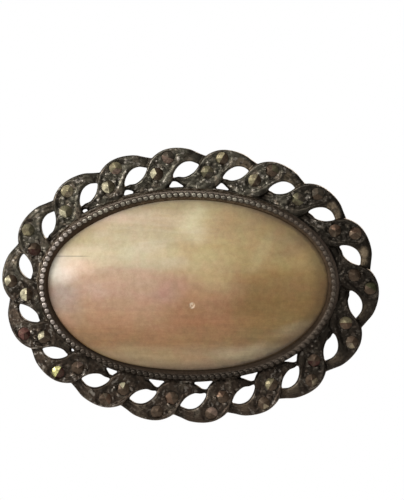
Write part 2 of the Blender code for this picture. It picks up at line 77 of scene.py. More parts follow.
# ---------------------------------------------------------------- sizes, in millimetres
BEZEL_OUTER = 1.22                      # outside of the bezel, from the pearl's edge
RAIL_WIDTH = 0.26                       # inner rail of the border
GAP = 0.04                              # between touching CAD nodes
BEZEL_HALF_WIDTH, BEZEL_HALF_HEIGHT, BEZEL_TOP = node_size("bezel")
PEARL_HALF_WIDTH = BEZEL_HALF_WIDTH - BEZEL_OUTER
PEARL_HALF_HEIGHT = BEZEL_HALF_HEIGHT - BEZEL_OUTER
GIRDLE_HALF_WIDTH, GIRDLE_HALF_HEIGHT, PEARL_TOP = node_size("cabochon")
SETTING_MIDDLE = np.array(node_middle("bezel"))
PEARL_BASE = 1.28                       # heights above the back
PEARL_GIRDLE_TOP = 1.85
BACK_OF_BEZEL = 0.64
ROPE_TOP = node_size("rope_border")[2]

ROPE_HALF_WIDTH = 19.88                 # the border's middle line
ROPE_HALF_HEIGHT = 13.83
LEAF_COUNT = 18
# How far each leaf has slipped along the rope, in pitches.
LEAF_DRIFT = (0.03, 0.01, -0.03, -0.03, -0.02, 0.0, 0.02, 0.02, 0.04,
              0.07, 0.08, 0.10, 0.04, 0.0, -0.04, -0.03, -0.02, 0.0)
# Leaf sections from root to tip, as the CAD has them: (pitches, mm out) of the outer and the
# inner flank, and the height of the crown.
LEAF_STATIONS = np.array((
    (-0.42, -0.98, -0.45, -1.36, 0.70),
    (-0.28, -0.86, -0.33, -1.44, 0.85),
    (-0.15, -0.92, -0.17, -2.02, 1.10),
    (0.00, -0.52, 0.06, -2.36, 1.38),
    (0.10, 0.12, 0.42, -2.32, 1.52),
    (0.21, 1.30, 0.60, -1.50, 1.58),
    (0.34, 2.00, 0.65, -0.50, 1.62),
    (0.52, 2.48, 0.74, 0.27, 1.62),
    (0.73, 2.60, 0.86, 0.80, 1.48),
    (0.97, 2.40, 1.00, 0.93, 1.25),
    (1.15, 1.95, 1.12, 0.70, 1.02),
    (1.30, 1.62, 1.22, 0.50, 0.80),
))
CLOSED_GAPS = (1, 2, 3, 4, 5, 12, 13, 14)   # small openings by the rail that the casting closed
WEB_PLACE = (0.70, -1.90)               # pitches along and mm out, from the leaf's own place
WEB_HALF_SIZE = (1.35, 0.55)
WEB_HEIGHT = 1.05
STONE_PLACES = ((0.31, -0.30), (0.57, 1.50))   # inner and outer stone, pitches along and mm out
STONE_RADIUS = 0.78
STONE_TOP = 1.73
SEAT_RADIUS = 0.80
SEAT_FLOOR = 0.84
SEAT_DEPTH = 1.0                        # reaches out of the metal, so that the seat is open

dice = random.Random(36)                # one run of draws, for the grains, the beads and the stones


# ---------------------------------------------------------------- ovals and running lengths
def oval_xy(angle, half_width, half_height, out=0.0):
    """Points on an oval, clockwise from the top, moved out square to its edge."""
    angle = np.asarray(angle, float)
    normal_x = half_height * np.sin(angle)
    normal_y = half_width * np.cos(angle)
    length = np.hypot(normal_x, normal_y)
    return (half_width * np.sin(angle) + normal_x / length * out,
            half_height * np.cos(angle) + normal_y / length * out)


OVAL_SAMPLES = 3600


class OvalLine:
    """A closed line at a distance outside an oval, followed by share of its running length."""

    def __init__(self, half_width, half_height, line_out=0.0):
        self.sizes = (half_width, half_height)
        self.angles = np.linspace(0.0, 2 * math.pi, OVAL_SAMPLES + 1)
        x, y = oval_xy(self.angles, half_width, half_height, line_out)
        steps = np.hypot(np.diff(x), np.diff(y))
        self.lengths = np.concatenate(([0.0], np.cumsum(steps)))
        self.total = self.lengths[-1]

    def angle(self, share):
        return np.interp(np.mod(share, 1.0) * self.total, self.lengths, self.angles)

    def at(self, share, out=0.0):
        return oval_xy(self.angle(share), *self.sizes, out)


ROPE_LINE = OvalLine(ROPE_HALF_WIDTH, ROPE_HALF_HEIGHT)


def rope_xy(pitches, out):
    """A point some pitches along the border's middle line and some mm outside it."""
    return ROPE_LINE.at(np.asarray(pitches, float) / LEAF_COUNT, out)


def smoothstep(low, high, value):
    share = np.clip((value - low) / (high - low), 0.0, 1.0)
    return share * share * (3 - 2 * share)


# ---------------------------------------------------------------- meshes
def put(name, data):
    """A new object in the scene."""
    obj = bpy.data.objects.new(name, data)
    bpy.context.scene.collection.objects.link(obj)
    return obj


def build_mesh(name, vertices, faces):
    """A mesh object from vertices in flat millimetres, left in flat millimetres."""
    mesh = bpy.data.meshes.new(name)
    mesh.from_pydata([tuple(v) for v in vertices], [], [tuple(f) for f in faces])
    mesh.validate()
    return put(name, mesh)


def mesh_from(name, bm):
    """A mesh from a bmesh, which is freed."""
    mesh = bpy.data.meshes.new(name)
    bm.to_mesh(mesh)
    bm.free()
    return mesh


def apply_modifiers(obj):
    """Replace an object's mesh with what its modifiers make of it."""
    bpy.context.view_layer.update()
    evaluated = obj.evaluated_get(bpy.context.evaluated_depsgraph_get())
    mesh = bpy.data.meshes.new_from_object(evaluated)
    old = obj.data
    obj.modifiers.clear()
    obj.data = mesh
    bpy.data.meshes.remove(old)


def boolean(obj, tool, operation):
    """Join or cut with a closed tool, which is removed afterwards."""
    modifier = obj.modifiers.new(operation, "BOOLEAN")
    modifier.operation = operation
    modifier.solver = "MANIFOLD"
    modifier.object = tool
    apply_modifiers(obj)
    bpy.data.objects.remove(tool, do_unlink=True)


def ease_edges(obj, width, angle):
    """Round the edges that turn by more than an angle, in degrees."""
    bevel = obj.modifiers.new("ease", "BEVEL")
    bevel.width = width
    bevel.segments = 3
    bevel.limit_method = "ANGLE"
    bevel.angle_limit = math.radians(angle)
    apply_modifiers(obj)


def grid_faces(rows, columns, close_rows=False, close_columns=False):
    """Four-sided faces over vertices numbered row by row."""
    faces = []
    for i in range(rows if close_rows else rows - 1):
        for j in range(columns if close_columns else columns - 1):
            k = (i + 1) % rows
            m = (j + 1) % columns
            faces.append((i * columns + j, i * columns + m, k * columns + m, k * columns + j))
    return faces


def ring_vertices(x, y, z):
    """Vertices round the setting's middle, row by row."""
    return np.stack((x + SETTING_MIDDLE[0], y + SETTING_MIDDLE[1], z), axis=-1).reshape(-1, 3)


def sweep(name, section, steps):
    """A closed ring: a section of (out, height) points swept round the pearl's edge."""
    angles = 2 * math.pi * np.arange(steps) / steps
    section = np.asarray(section, float)
    x, y = oval_xy(angles[:, None], PEARL_HALF_WIDTH, PEARL_HALF_HEIGHT, section[None, :, 0])
    z = np.broadcast_to(section[None, :, 1], x.shape)
    return build_mesh(name, ring_vertices(x, y, z), grid_faces(steps, len(section), True, True))


def fix_normals(obj):
    bm = bmesh.new()
    bm.from_mesh(obj.data)
    bmesh.ops.recalc_face_normals(bm, faces=bm.faces)
    bm.to_mesh(obj.data)
    bm.free()


def coordinates(obj):
    values = np.empty(len(obj.data.vertices) * 3)
    obj.data.vertices.foreach_get("co", values)
    return values.reshape(-1, 3)


def set_coordinates(obj, values):
    obj.data.vertices.foreach_set("co", np.ascontiguousarray(values).ravel())
    obj.data.update()


def dress(obj, material, smooth_angle):
    """Give a finished mesh its material, smooth up to an angle in degrees."""
    obj.data.materials.clear()
    obj.data.materials.append(material)
    obj.data.shade_smooth()
    obj.data.set_sharp_from_angle(angle=math.radians(smooth_angle))


def stand_up(obj, material, smooth_angle):
    """Turn a finished flat mesh into the upright frame and dress it."""
    obj.data.transform(FLAT_TO_WORLD)
    dress(obj, material, smooth_angle)


def add_piece(obj, body, slot, *nodes):
    """Say what a piece rides on and which CAD nodes it stands for; which finish it has is not used.
    """
    if nodes:
        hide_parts(*nodes)
    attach(obj, body)


# ---------------------------------------------------------------- smooth noise for cast surfaces
def value_noise(points, size, seed):
    """Smooth noise from -1 to 1 at points, with features of a size in millimetres."""
    table = np.random.default_rng(seed).uniform(-1, 1, 4096)
    cells = points / size
    base = np.floor(cells).astype(np.int64)
    part = cells - base
    part = part * part * (3 - 2 * part)
    total = np.zeros(len(points))
    for corner in range(8):
        offset = np.array([(corner >> axis) & 1 for axis in range(3)])
        index = base + offset
        key = (index[:, 0] * 73856093) ^ (index[:, 1] * 19349663) ^ (index[:, 2] * 83492791)
        weight = np.prod(np.where(offset, part, 1 - part), axis=1)
        total += weight * table[key & 4095]
    return total


# ---------------------------------------------------------------- material helpers
class Painter:
    """A material's node tree, with short names for the nodes used here."""

    def __init__(self, name):
        self.material = bpy.data.materials.new(name)
        self.material.use_nodes = True
        self.tree = self.material.node_tree
        self.shader = self.tree.nodes["Principled BSDF"]
        metres = self.tree.nodes.new("ShaderNodeTexCoord").outputs["Object"]
        self.place = self.node("ShaderNodeMapping", Vector=metres,
                               Scale=(1 / MM, 1 / MM, 1 / MM)).outputs["Vector"]
        self.x, self.y, self.z = self.axes(self.place)

    def node(self, kind, settings=None, **inputs):
        new = self.tree.nodes.new(kind)
        for key, value in (settings or {}).items():
            setattr(new, key, value)
        for key, value in inputs.items():
            self.feed(new.inputs[key.replace("_", " ")], value)
        return new

    def feed(self, socket, value):
        if isinstance(value, bpy.types.NodeSocket):
            self.tree.links.new(value, socket)
        elif isinstance(value, tuple) and len(value) == 3 and socket.type == "RGBA":
            socket.default_value = (*value, 1.0)
        else:
            socket.default_value = value

    def set(self, **inputs):
        for key, value in inputs.items():
            self.feed(self.shader.inputs[key.replace("_", " ")], value)

    def scaled(self, scale, turn=(0, 0, 0)):
        """The place stretched and turned, for streaks and grain."""
        return self.node("ShaderNodeMapping", Vector=self.place, Scale=scale,
                         Rotation=turn).outputs["Vector"]

    def noise(self, per_mm, detail=3.0, roughness=0.55, distortion=0.0, vector=None):
        tex = self.node("ShaderNodeTexNoise", Vector=vector or self.place, Scale=per_mm,
                        Detail=detail, Roughness=roughness, Distortion=distortion)
        return tex.outputs["Fac"]

    def cells(self, per_mm):
        return self.node("ShaderNodeTexVoronoi", Vector=self.place, Scale=per_mm).outputs["Distance"]

    def math(self, operation, a, b=0.5):
        new = self.node("ShaderNodeMath", {"operation": operation})
        self.feed(new.inputs[0], a)
        self.feed(new.inputs[1], b)
        return new.outputs[0]

    def times(self, first, *others):
        for other in others:
            first = self.math("MULTIPLY", first, other)
        return first

    def plus(self, a, b):
        return self.math("ADD", a, b)

    def larger(self, a, b):
        return self.math("MAXIMUM", a, b)

    def vector(self, operation, *values):
        new = self.node("ShaderNodeVectorMath", {"operation": operation})
        for socket, value in zip(new.inputs, values):
            self.feed(socket, value)
        return new.outputs["Value" if operation == "LENGTH" else "Vector"]

    def ramp(self, value, low, high, to_low=0.0, to_high=1.0):
        return self.node("ShaderNodeMapRange", {"interpolation_type": "SMOOTHSTEP"}, Value=value,
                         From_Min=low, From_Max=high, To_Min=to_low, To_Max=to_high).outputs[0]

    def mix(self, share, a, b, blend="MIX"):
        new = self.tree.nodes.new("ShaderNodeMix")
        new.data_type = "RGBA"
        new.blend_type = blend
        self.feed(new.inputs[0], share)
        self.feed(new.inputs[6], a)
        self.feed(new.inputs[7], b)
        return new.outputs[2]

    def axes(self, vector):
        return tuple(self.node("ShaderNodeSeparateXYZ", Vector=vector).outputs)

    def pointiness(self):
        return self.tree.nodes.new("ShaderNodeNewGeometry").outputs["Pointiness"]

    def bump(self, height, depth_mm, strength=1.0, under=None):
        new = self.node("ShaderNodeBump", Height=height, Distance=depth_mm * MM, Strength=strength)
        if under is not None:
            self.feed(new.inputs["Normal"], under)
        return new.outputs["Normal"]


# ---------------------------------------------------------------- materials
DARK_OXIDE_AND_SHADE = (0.018, 0.015, 0.012)       # sulphide in the recesses, and painted shade at the lower right and on the bezel's lip
OXIDE_BROWN = (0.088, 0.062, 0.045)
OXIDE_GREEN = (0.104, 0.098, 0.075)
SILVER_WORN = (0.50, 0.455, 0.40)        # rubbed silver on the high edges
SILVER_TAN = (0.250, 0.205, 0.155)
SILVER_SHEEN = (0.88, 0.74, 0.62)        # tint of the reflections
TIP_TAN = (0.360, 0.280, 0.190)          # rubbed ends of the leaves
BACK_PATINA = (0.150, 0.125, 0.100)      # even film on the hollow back
BEAD_GREY = (0.38, 0.355, 0.290)         # polished beads
BEAD_PINK_HIGHLIGHT = (0.78, 0.69, 0.63)           # painted pinkish highlight on the worn beads at the far left
BEAD_OXIDE = (0.090, 0.074, 0.060)       # between the beads
BEAD_OXIDE_TOP = (0.072, 0.058, 0.048)   # on beads that aren't rubbed
BEAD_HAZE = (0.160, 0.124, 0.098)        # thin grey-brown film on the beads at both ends
BEZEL_DARK = (0.054, 0.034, 0.021)       # groove inside the beads
BEZEL_BROWN = (0.150, 0.106, 0.066)
# painted light on the bezel's outer wall at the right, which lies in shade
BEZEL_OUTER_RIGHT = (0.240, 0.190, 0.160)
BEZEL_SHEEN = (0.52, 0.38, 0.27)
NICKEL_GREY = (0.42, 0.405, 0.375)
STEEL_GREY = (0.50, 0.50, 0.49)
PLATE_GREY = (0.33, 0.31, 0.28)
TARNISH = (0.13, 0.10, 0.07)


def lit_side(p):
    """Below 0 at the lower right, away from the light, and above 0 at the upper left, towards it;
    colour weighted by it is painted light and shade.
    """
    return p.plus(p.times(p.x, -0.0100), p.times(p.z, 0.0155))


def length_from(p, middle, scale=(1.0, 1.0), lean=0, place=None):
    """Distance from a point of the face, in millimetres or in parts of a leaning oval."""
    moved = p.vector("SUBTRACT", place or p.place, (middle[0], 0.0, middle[1]))
    if lean:
        moved = p.node("ShaderNodeVectorRotate", {"rotation_type": "Y_AXIS"}, Vector=moved,
                       Angle=math.radians(lean)).outputs["Vector"]
    return p.vector("LENGTH", p.vector("MULTIPLY", moved, (1 / scale[0], 0.0, 1 / scale[1])))


def cast_silver():
    """Oxidised cast silver: dark in the recesses, greener towards the top, paler where worn, with
    painted light on the upper left and painted shade towards the bottom and the right.
    """
    p = Painter("oxidised_silver_cast")
    height = p.times(p.y, -1.0)
    side = lit_side(p)
    upward = p.times(p.z, 0.015)
    blotches = p.ramp(p.plus(p.noise(0.50, 3.0, 0.6), upward), 0.34, 0.72)
    patina = p.mix(blotches, OXIDE_BROWN, OXIDE_GREEN)
    dark_share = p.ramp(p.noise(1.15, 3.0, 0.55, 0.6), 0.42, 0.66, 0.0, 0.85)
    patina = p.mix(dark_share, patina, DARK_OXIDE_AND_SHADE)
    tan = p.times(p.ramp(p.noise(0.72, 2.0, 0.5), 0.52, 0.66),
                  p.ramp(p.noise(2.6, 3.0, 0.6), 0.38, 0.58, 0.1, 0.75))
    patina = p.mix(tan, patina, SILVER_TAN)
    patina = p.mix(p.ramp(height, 1.30, 0.75, 0.0, 0.80), patina, DARK_OXIDE_AND_SHADE)
    patina = p.mix(p.ramp(p.pointiness(), 0.485, 0.44, 0.0, 0.75), patina, DARK_OXIDE_AND_SHADE)
    # Painted shade: the casting darkens towards the bottom and towards the right, away from the
    # light.
    low = p.ramp(p.z, 4.0, -9.0, 0.10, 0.58)
    far = p.ramp(p.x, 5.0, 17.0, 0.10, 0.90)
    patina = p.mix(p.larger(low, far), patina, DARK_OXIDE_AND_SHADE)
    behind = p.times(p.ramp(height, 0.50, 0.10),
                     p.ramp(p.noise(0.9, 3.0, 0.6), 0.30, 0.62, 0.35, 0.9))
    patina = p.mix(behind, patina, BACK_PATINA)
    rubbed_tip = p.node("ShaderNodeAttribute", {"attribute_name": "tip"}).outputs["Fac"]
    tip_share = p.times(rubbed_tip, p.ramp(p.noise(1.3, 3.0, 0.6), 0.36, 0.56, 0.15, 0.9),
                        p.ramp(p.x, 1.0, 9.0, 0.10, 0.9), p.ramp(p.z, -2.0, 3.0, 0.15, 1.0))
    patina = p.mix(tip_share, patina, TIP_TAN)
    edges = p.ramp(p.pointiness(), 0.515, 0.60)
    wear = p.times(edges, p.ramp(p.noise(0.70, 3.0, 0.6), 0.42, 0.60, 0.05, 0.75))
    flecks = p.times(p.ramp(p.noise(1.9, 3.0, 0.6), 0.55, 0.63),
                     p.ramp(p.noise(0.60, 2.0), 0.42, 0.56), p.ramp(height, 0.85, 1.15))
    wear = p.larger(wear, p.times(flecks, 0.60))
    # Wear shows more on the upper left and less at the far right: real wear with painted light and
    # shade.
    lit_side_wear = p.times(p.ramp(side, -0.30, 0.30, 0.35, 0.92), p.ramp(p.x, 11.0, 18.0, 1.0, 0.32))
    colour = p.mix(p.times(wear, lit_side_wear), patina, SILVER_WORN)
    roughness = p.ramp(p.noise(1.6, 3.0, 0.6), 0.3, 0.7, 0.30, 0.54)
    fine = p.bump(p.noise(4.5, 3.0, 0.55), 0.05, 0.45)
    pits = p.bump(p.cells(2.6), 0.06, 0.25, fine)
    p.set(Base_Color=colour, Roughness=roughness, Normal=pits, Metallic=0.75)
    p.set(Specular_IOR_Level=0.25, Specular_Tint=SILVER_SHEEN)
    return p.material


def bezel_silver():
    """The bezel's silver: brown in its groove, pale on the worn beads, with painted light on the
    upper left, a painted pinkish highlight at the far left, painted light on the outer wall at the
    right and painted shade on the lip's inner edge at the right.
    """
    p = Painter("oxidised_silver_bezel")
    height = p.times(p.y, -1.0)
    side = lit_side(p)
    tops = p.ramp(height, 2.37, 2.50)
    patches = p.times(p.ramp(p.noise(0.40, 3.0), 0.36, 0.62, 0.45, 1.0),
                      p.ramp(p.noise(1.1, 3.0, 0.7), 0.34, 0.58, 0.50, 1.0))
    # The beads' worn tops show most on the upper left, towards the light, and least at the right:
    # painted light on real wear.
    lit_side_wear = p.larger(p.ramp(side, -0.02, 0.17), p.ramp(p.x, 14.0, 17.0, 0.04, 0.08))
    rubbed = p.times(tops, patches, lit_side_wear)
    browned = p.times(p.ramp(p.x, -13.0, -1.0), p.ramp(p.z, -7.0, 4.0),
                      p.ramp(p.noise(1.6, 3.0, 0.6), 0.35, 0.65, 0.3, 1.0),
                      p.ramp(p.x, 6.0, 15.0, 1.0, 0.45))
    base = p.mix(browned, BEZEL_DARK, BEZEL_BROWN)
    away = length_from(p, SETTING_MIDDLE, (PEARL_HALF_WIDTH + 0.95, PEARL_HALF_HEIGHT + 0.95))
    # The outer wall takes the dark oxide, but at the right a paler colour is painted on it as light
    # on a wall in shade.
    outer_wall = p.times(p.ramp(away, 0.990, 1.012, 0.0, 0.6), p.ramp(height, 2.30, 2.20))
    rightward = p.times(p.ramp(p.x, 8.0, 16.0), p.ramp(p.z, -5.0, 3.0, 0.45, 1.0))
    base = p.mix(outer_wall, base, p.mix(rightward, DARK_OXIDE_AND_SHADE, BEZEL_OUTER_RIGHT))
    # Tan flecks by the outer wall, thicker on the upper left as painted light.
    flecks = p.times(p.ramp(p.noise(1.8, 4.0, 0.7), 0.46, 0.58), p.ramp(away, 0.995, 1.010),
                     p.ramp(side, -0.10, 0.15, 0.20, 0.90))
    base = p.mix(flecks, base, SILVER_TAN)
    # Painted shade: the inner edge of the lip at the right is darkened, where it would catch the
    # light.
    lip = p.times(p.ramp(away, 0.975, 0.955, 0.0, 0.75), p.ramp(p.x, 2.0, 12.0),
                  p.ramp(height, 2.16, 2.08))
    base = p.mix(lip, base, DARK_OXIDE_AND_SHADE)
    on_beads = p.ramp(height, 2.22, 2.33)
    base = p.mix(on_beads, base, p.mix(p.ramp(height, 2.36, 2.50), BEAD_OXIDE, BEAD_OXIDE_TOP))
    base = p.mix(p.ramp(p.z, 2.0, -8.0, 0.0, 0.62), base, DARK_OXIDE_AND_SHADE)
    at_ends = p.ramp(p.math("ABSOLUTE", p.x), 6.0, 13.0, 0.0, 0.28)
    base = p.mix(p.times(at_ends, on_beads), base, BEAD_HAZE)
    # At the far left the worn beads take a painted pinkish highlight.
    polished = p.mix(p.ramp(p.x, -11.5, -16.5), BEAD_GREY, BEAD_PINK_HIGHLIGHT)
    colour = p.mix(rubbed, base, polished)
    roughness = p.mix(on_beads, p.ramp(p.noise(3.0, 2.0), 0.3, 0.7, 0.46, 0.66),
                      p.ramp(p.noise(3.0, 2.0), 0.3, 0.7, 0.30, 0.44))
    roughness = p.plus(roughness, p.ramp(p.x, 6.0, 13.0, 0.0, 0.16))
    p.set(Base_Color=colour, Roughness=roughness, Metallic=0.75, Specular_IOR_Level=0.20,
          Specular_Tint=BEZEL_SHEEN, Normal=p.bump(p.noise(4.0, 4.0, 0.65), 0.05, 0.5))
    return p.material


# Growth bands of the shell from bottom to top, darker at the bottom and in the right column with
# painted shade:
# (height in mm, colour), at its left, its middle and its right, and how far right each of the three
# is purest.
NACRE_BANDS = (
    ((-9.4, (0.36, 0.25, 0.14)), (-7.9, (0.34, 0.23, 0.12)), (-6.6, (0.285, 0.155, 0.070)),
     (-5.1, (0.335, 0.185, 0.098)), (-3.7, (0.42, 0.250, 0.148)), (-2.2, (0.46, 0.283, 0.188)),
     (-0.8, (0.50, 0.325, 0.230)), (0.9, (0.53, 0.355, 0.255)), (1.7, (0.54, 0.375, 0.265)),
     (2.2, (0.57, 0.460, 0.315)), (3.6, (0.59, 0.500, 0.315)), (4.9, (0.51, 0.420, 0.250)),
     (6.6, (0.43, 0.325, 0.165)), (8.2, (0.51, 0.390, 0.250)), (9.4, (0.36, 0.270, 0.130))),
    ((-9.4, (0.35, 0.24, 0.13)), (-8.0, (0.31, 0.200, 0.105)), (-6.6, (0.285, 0.160, 0.065)),
     (-4.4, (0.335, 0.170, 0.085)), (-2.3, (0.380, 0.205, 0.112)), (-0.8, (0.435, 0.265, 0.152)),
     (0.1, (0.465, 0.290, 0.172)), (1.1, (0.50, 0.345, 0.203)), (2.0, (0.525, 0.395, 0.220)),
     (3.5, (0.53, 0.415, 0.205)), (4.9, (0.475, 0.350, 0.152)), (6.4, (0.50, 0.400, 0.195)),
     (8.0, (0.53, 0.440, 0.240)), (9.4, (0.36, 0.280, 0.130))),
    ((-9.0, (0.36, 0.280, 0.165)), (-7.6, (0.30, 0.205, 0.105)), (-6.4, (0.230, 0.142, 0.052)),
     (-4.5, (0.250, 0.158, 0.058)), (-2.3, (0.268, 0.162, 0.060)), (-0.8, (0.275, 0.172, 0.070)),
     (0.1, (0.300, 0.188, 0.080)), (1.2, (0.350, 0.225, 0.092)), (2.4, (0.410, 0.298, 0.130)),
     (3.6, (0.445, 0.318, 0.142)), (5.0, (0.440, 0.315, 0.142)), (6.8, (0.355, 0.250, 0.108)),
     (8.6, (0.270, 0.175, 0.075))),
)
BAND_SPAN = 10.0                         # the bands reach this far above and below the middle
BAND_BLENDS = ((-6.5, 0.5), (2.0, 8.5))  # where the middle takes over, then the right
PATCH_EDGE = (0.25, 1.15)                # where a patch starts to fade and is gone, in half sizes
# Soft patches over the bands: middle (right, up), half size, lean in degrees, strength, colour.
NACRE_PATCHES = (
    ((-15.6, 2.0), (2.3, 2.5), 8, 1.00, (0.97, 0.930, 0.790)),      # painted highlight, left edge
    ((-12.6, 2.3), (2.6, 1.5), 0, 0.85, (0.76, 0.540, 0.405)),      # pink beside it
    ((-11.6, 4.1), (3.2, 1.4), -6, 0.55, (0.70, 0.570, 0.400)),     # cream above it
    ((-15.2, -1.2), (2.4, 2.6), 0, 0.80, (0.405, 0.325, 0.285)),    # grey-lilac below it
    ((0.2, 7.3), (2.2, 3.0), 8, 0.75, (0.62, 0.545, 0.330)),        # greenish window, top
    ((-6.0, 4.2), (4.2, 0.9), 20, 0.45, (0.66, 0.580, 0.410)),      # cream bar sloping down
    ((-10.2, 6.2), (2.0, 0.8), 14, 0.35, (0.66, 0.560, 0.430)),     # its pale upper end
    ((-6.4, 6.6), (2.2, 0.8), 16, 0.35, (0.44, 0.330, 0.200)),      # shade above the bar
    ((-3.4, 6.6), (1.5, 2.6), 20, 0.40, (0.38, 0.285, 0.150)),      # its brown left side
    ((-0.6, 4.7), (1.2, 2.2), 25, 0.40, (0.41, 0.295, 0.135)),      # brown under the window
    ((-8.8, 8.0), (2.6, 1.0), -8, 0.50, (0.62, 0.440, 0.320)),      # pink by the upper left lip
    ((3.4, 0.9), (2.6, 2.0), -14, 0.50, (0.53, 0.400, 0.200)),      # tongue of cream
    ((8.6, 3.8), (1.3, 3.0), -20, 0.45, (0.50, 0.420, 0.220)),      # olive streak
    ((-2.6, -0.6), (3.4, 1.9), 12, 0.45, (0.47, 0.265, 0.195)),     # deepest rose
    ((12.2, -5.2), (3.6, 1.0), 14, 0.60, (0.36, 0.285, 0.165)),     # grey streaks, lower right
    ((6.0, -8.0), (5.0, 1.1), 6, 0.65, (0.42, 0.335, 0.210)),       # pale streak, bottom
    ((6.8, -2.6), (4.2, 1.4), 4, 0.35, (0.225, 0.118, 0.048)),      # brown shade, right middle
    ((4.0, 7.4), (2.2, 2.0), 0, 0.70, (0.390, 0.265, 0.130)),       # brown beside the window
    ((11.9, 4.6), (3.0, 1.5), 30, 0.60, (0.290, 0.205, 0.110)),     # grey shade, upper right
    ((-13.9, 2.5), (1.8, 1.5), 0, 0.60, (0.900, 0.720, 0.590)),     # warm rim of the painted highlight
    ((-2.2, 2.4), (2.4, 1.0), 6, 0.45, (0.620, 0.530, 0.370)),      # cream bar, middle
    ((-3.0, -1.1), (2.6, 1.7), 10, 0.40, (0.480, 0.280, 0.235)),    # mauve in the rose
    ((-14.2, -3.2), (2.2, 1.8), 0, 0.45, (0.395, 0.270, 0.205)),    # brown under the lilac
    ((3.2, 7.2), (3.8, 2.6), 0, 0.48, (0.385, 0.240, 0.075)),       # warmer shade, top right
    ((-14.3, 1.1), (1.9, 1.2), 0, 0.50, (0.960, 0.780, 0.700)),     # foot of the painted highlight
    ((-3.0, 8.2), (1.8, 1.4), 0, 0.35, (0.420, 0.300, 0.140)),      # shade left of the window
    ((-9.6, 6.7), (1.9, 1.1), 8, 0.30, (0.520, 0.410, 0.250)),      # shade, upper left
    ((-4.7, 4.9), (2.0, 0.9), 15, 0.28, (0.500, 0.410, 0.240)),     # shade under the cream bar
    ((10.2, 5.8), (1.8, 1.4), 0, 0.35, (0.230, 0.150, 0.085)),      # dark upper right
    ((-11.6, -0.8), (2.0, 1.3), 0, 0.25, (0.640, 0.470, 0.410)),    # lilac-pink, left
    ((8.2, 1.7), (2.2, 1.1), 0, 0.25, (0.520, 0.380, 0.210)),       # end of the cream tongue
    ((-13.7, 3.9), (1.5, 1.0), 0, 0.50, (0.820, 0.700, 0.500)),     # top of the painted highlight
    ((4.8, 7.6), (2.0, 1.3), 0, 0.30, (0.330, 0.210, 0.070)),       # brown by the upper lip
    ((-9.4, 6.8), (1.6, 0.9), 8, 0.30, (0.470, 0.350, 0.180)),      # deeper shade, upper left
)
CHIP = (0.17, -2.38)                     # a tiny chip in the polish
CHIP_RADIUS = 0.42
HAIRLINE_HEIGHT = 3.45                   # a fine flaw in the shell at its left end
CHIP_COLOUR = (0.74, 0.58, 0.42)
NACRE_WAVER = (4.0, 0.0, 1.8)            # how far the bands and patches waver
NACRE_STREAK = (0.64, 0.58, 0.46)
NACRE_MOTTLE = (0.55, 0.46, 0.36)
NACRE_TINGES = ((0.523, 0.488, 0.497), (0.485, 0.518, 0.497))   # pinkish and greenish, very faint
NACRE_SHADE_AND_FLAW = (0.060, 0.036, 0.018)      # painted shade along the lip at the lower right, and the hairline flaw's colour


def nacre_bands(p, shell):
    """Three columns of bands, blended from left to right; the right column is darker with painted
    shade.
    """
    right, _, up = p.axes(shell)
    share = p.node("ShaderNodeMapRange", Value=up, From_Min=-BAND_SPAN,
                   From_Max=BAND_SPAN).outputs[0]
    columns = []
    for bands in NACRE_BANDS:
        column = p.node("ShaderNodeValToRGB", Fac=share)
        stops = column.color_ramp.elements
        column.color_ramp.interpolation = "LINEAR"
        stops.remove(stops[0])
        for k, (height, tint) in enumerate(bands):
            spot = 0.5 + 0.5 * height / BAND_SPAN
            stop = stops[0] if k == 0 else stops.new(spot)
            stop.position = spot
            stop.color = (*tint, 1.0)
        columns.append(column.outputs["Color"])
    colour = columns[0]
    for column, (start, end) in zip(columns[1:], BAND_BLENDS):
        colour = p.mix(p.ramp(right, start, end), colour, column)
    return colour


def nacre_patches(p, shell, colour):
    """The soft patches, one over another."""
    for middle, half_size, lean, strength, tint in NACRE_PATCHES:
        reach = length_from(p, middle, half_size, lean, shell)
        colour = p.mix(p.ramp(reach, *PATCH_EDGE, strength, 0.0), colour, tint)
    return colour


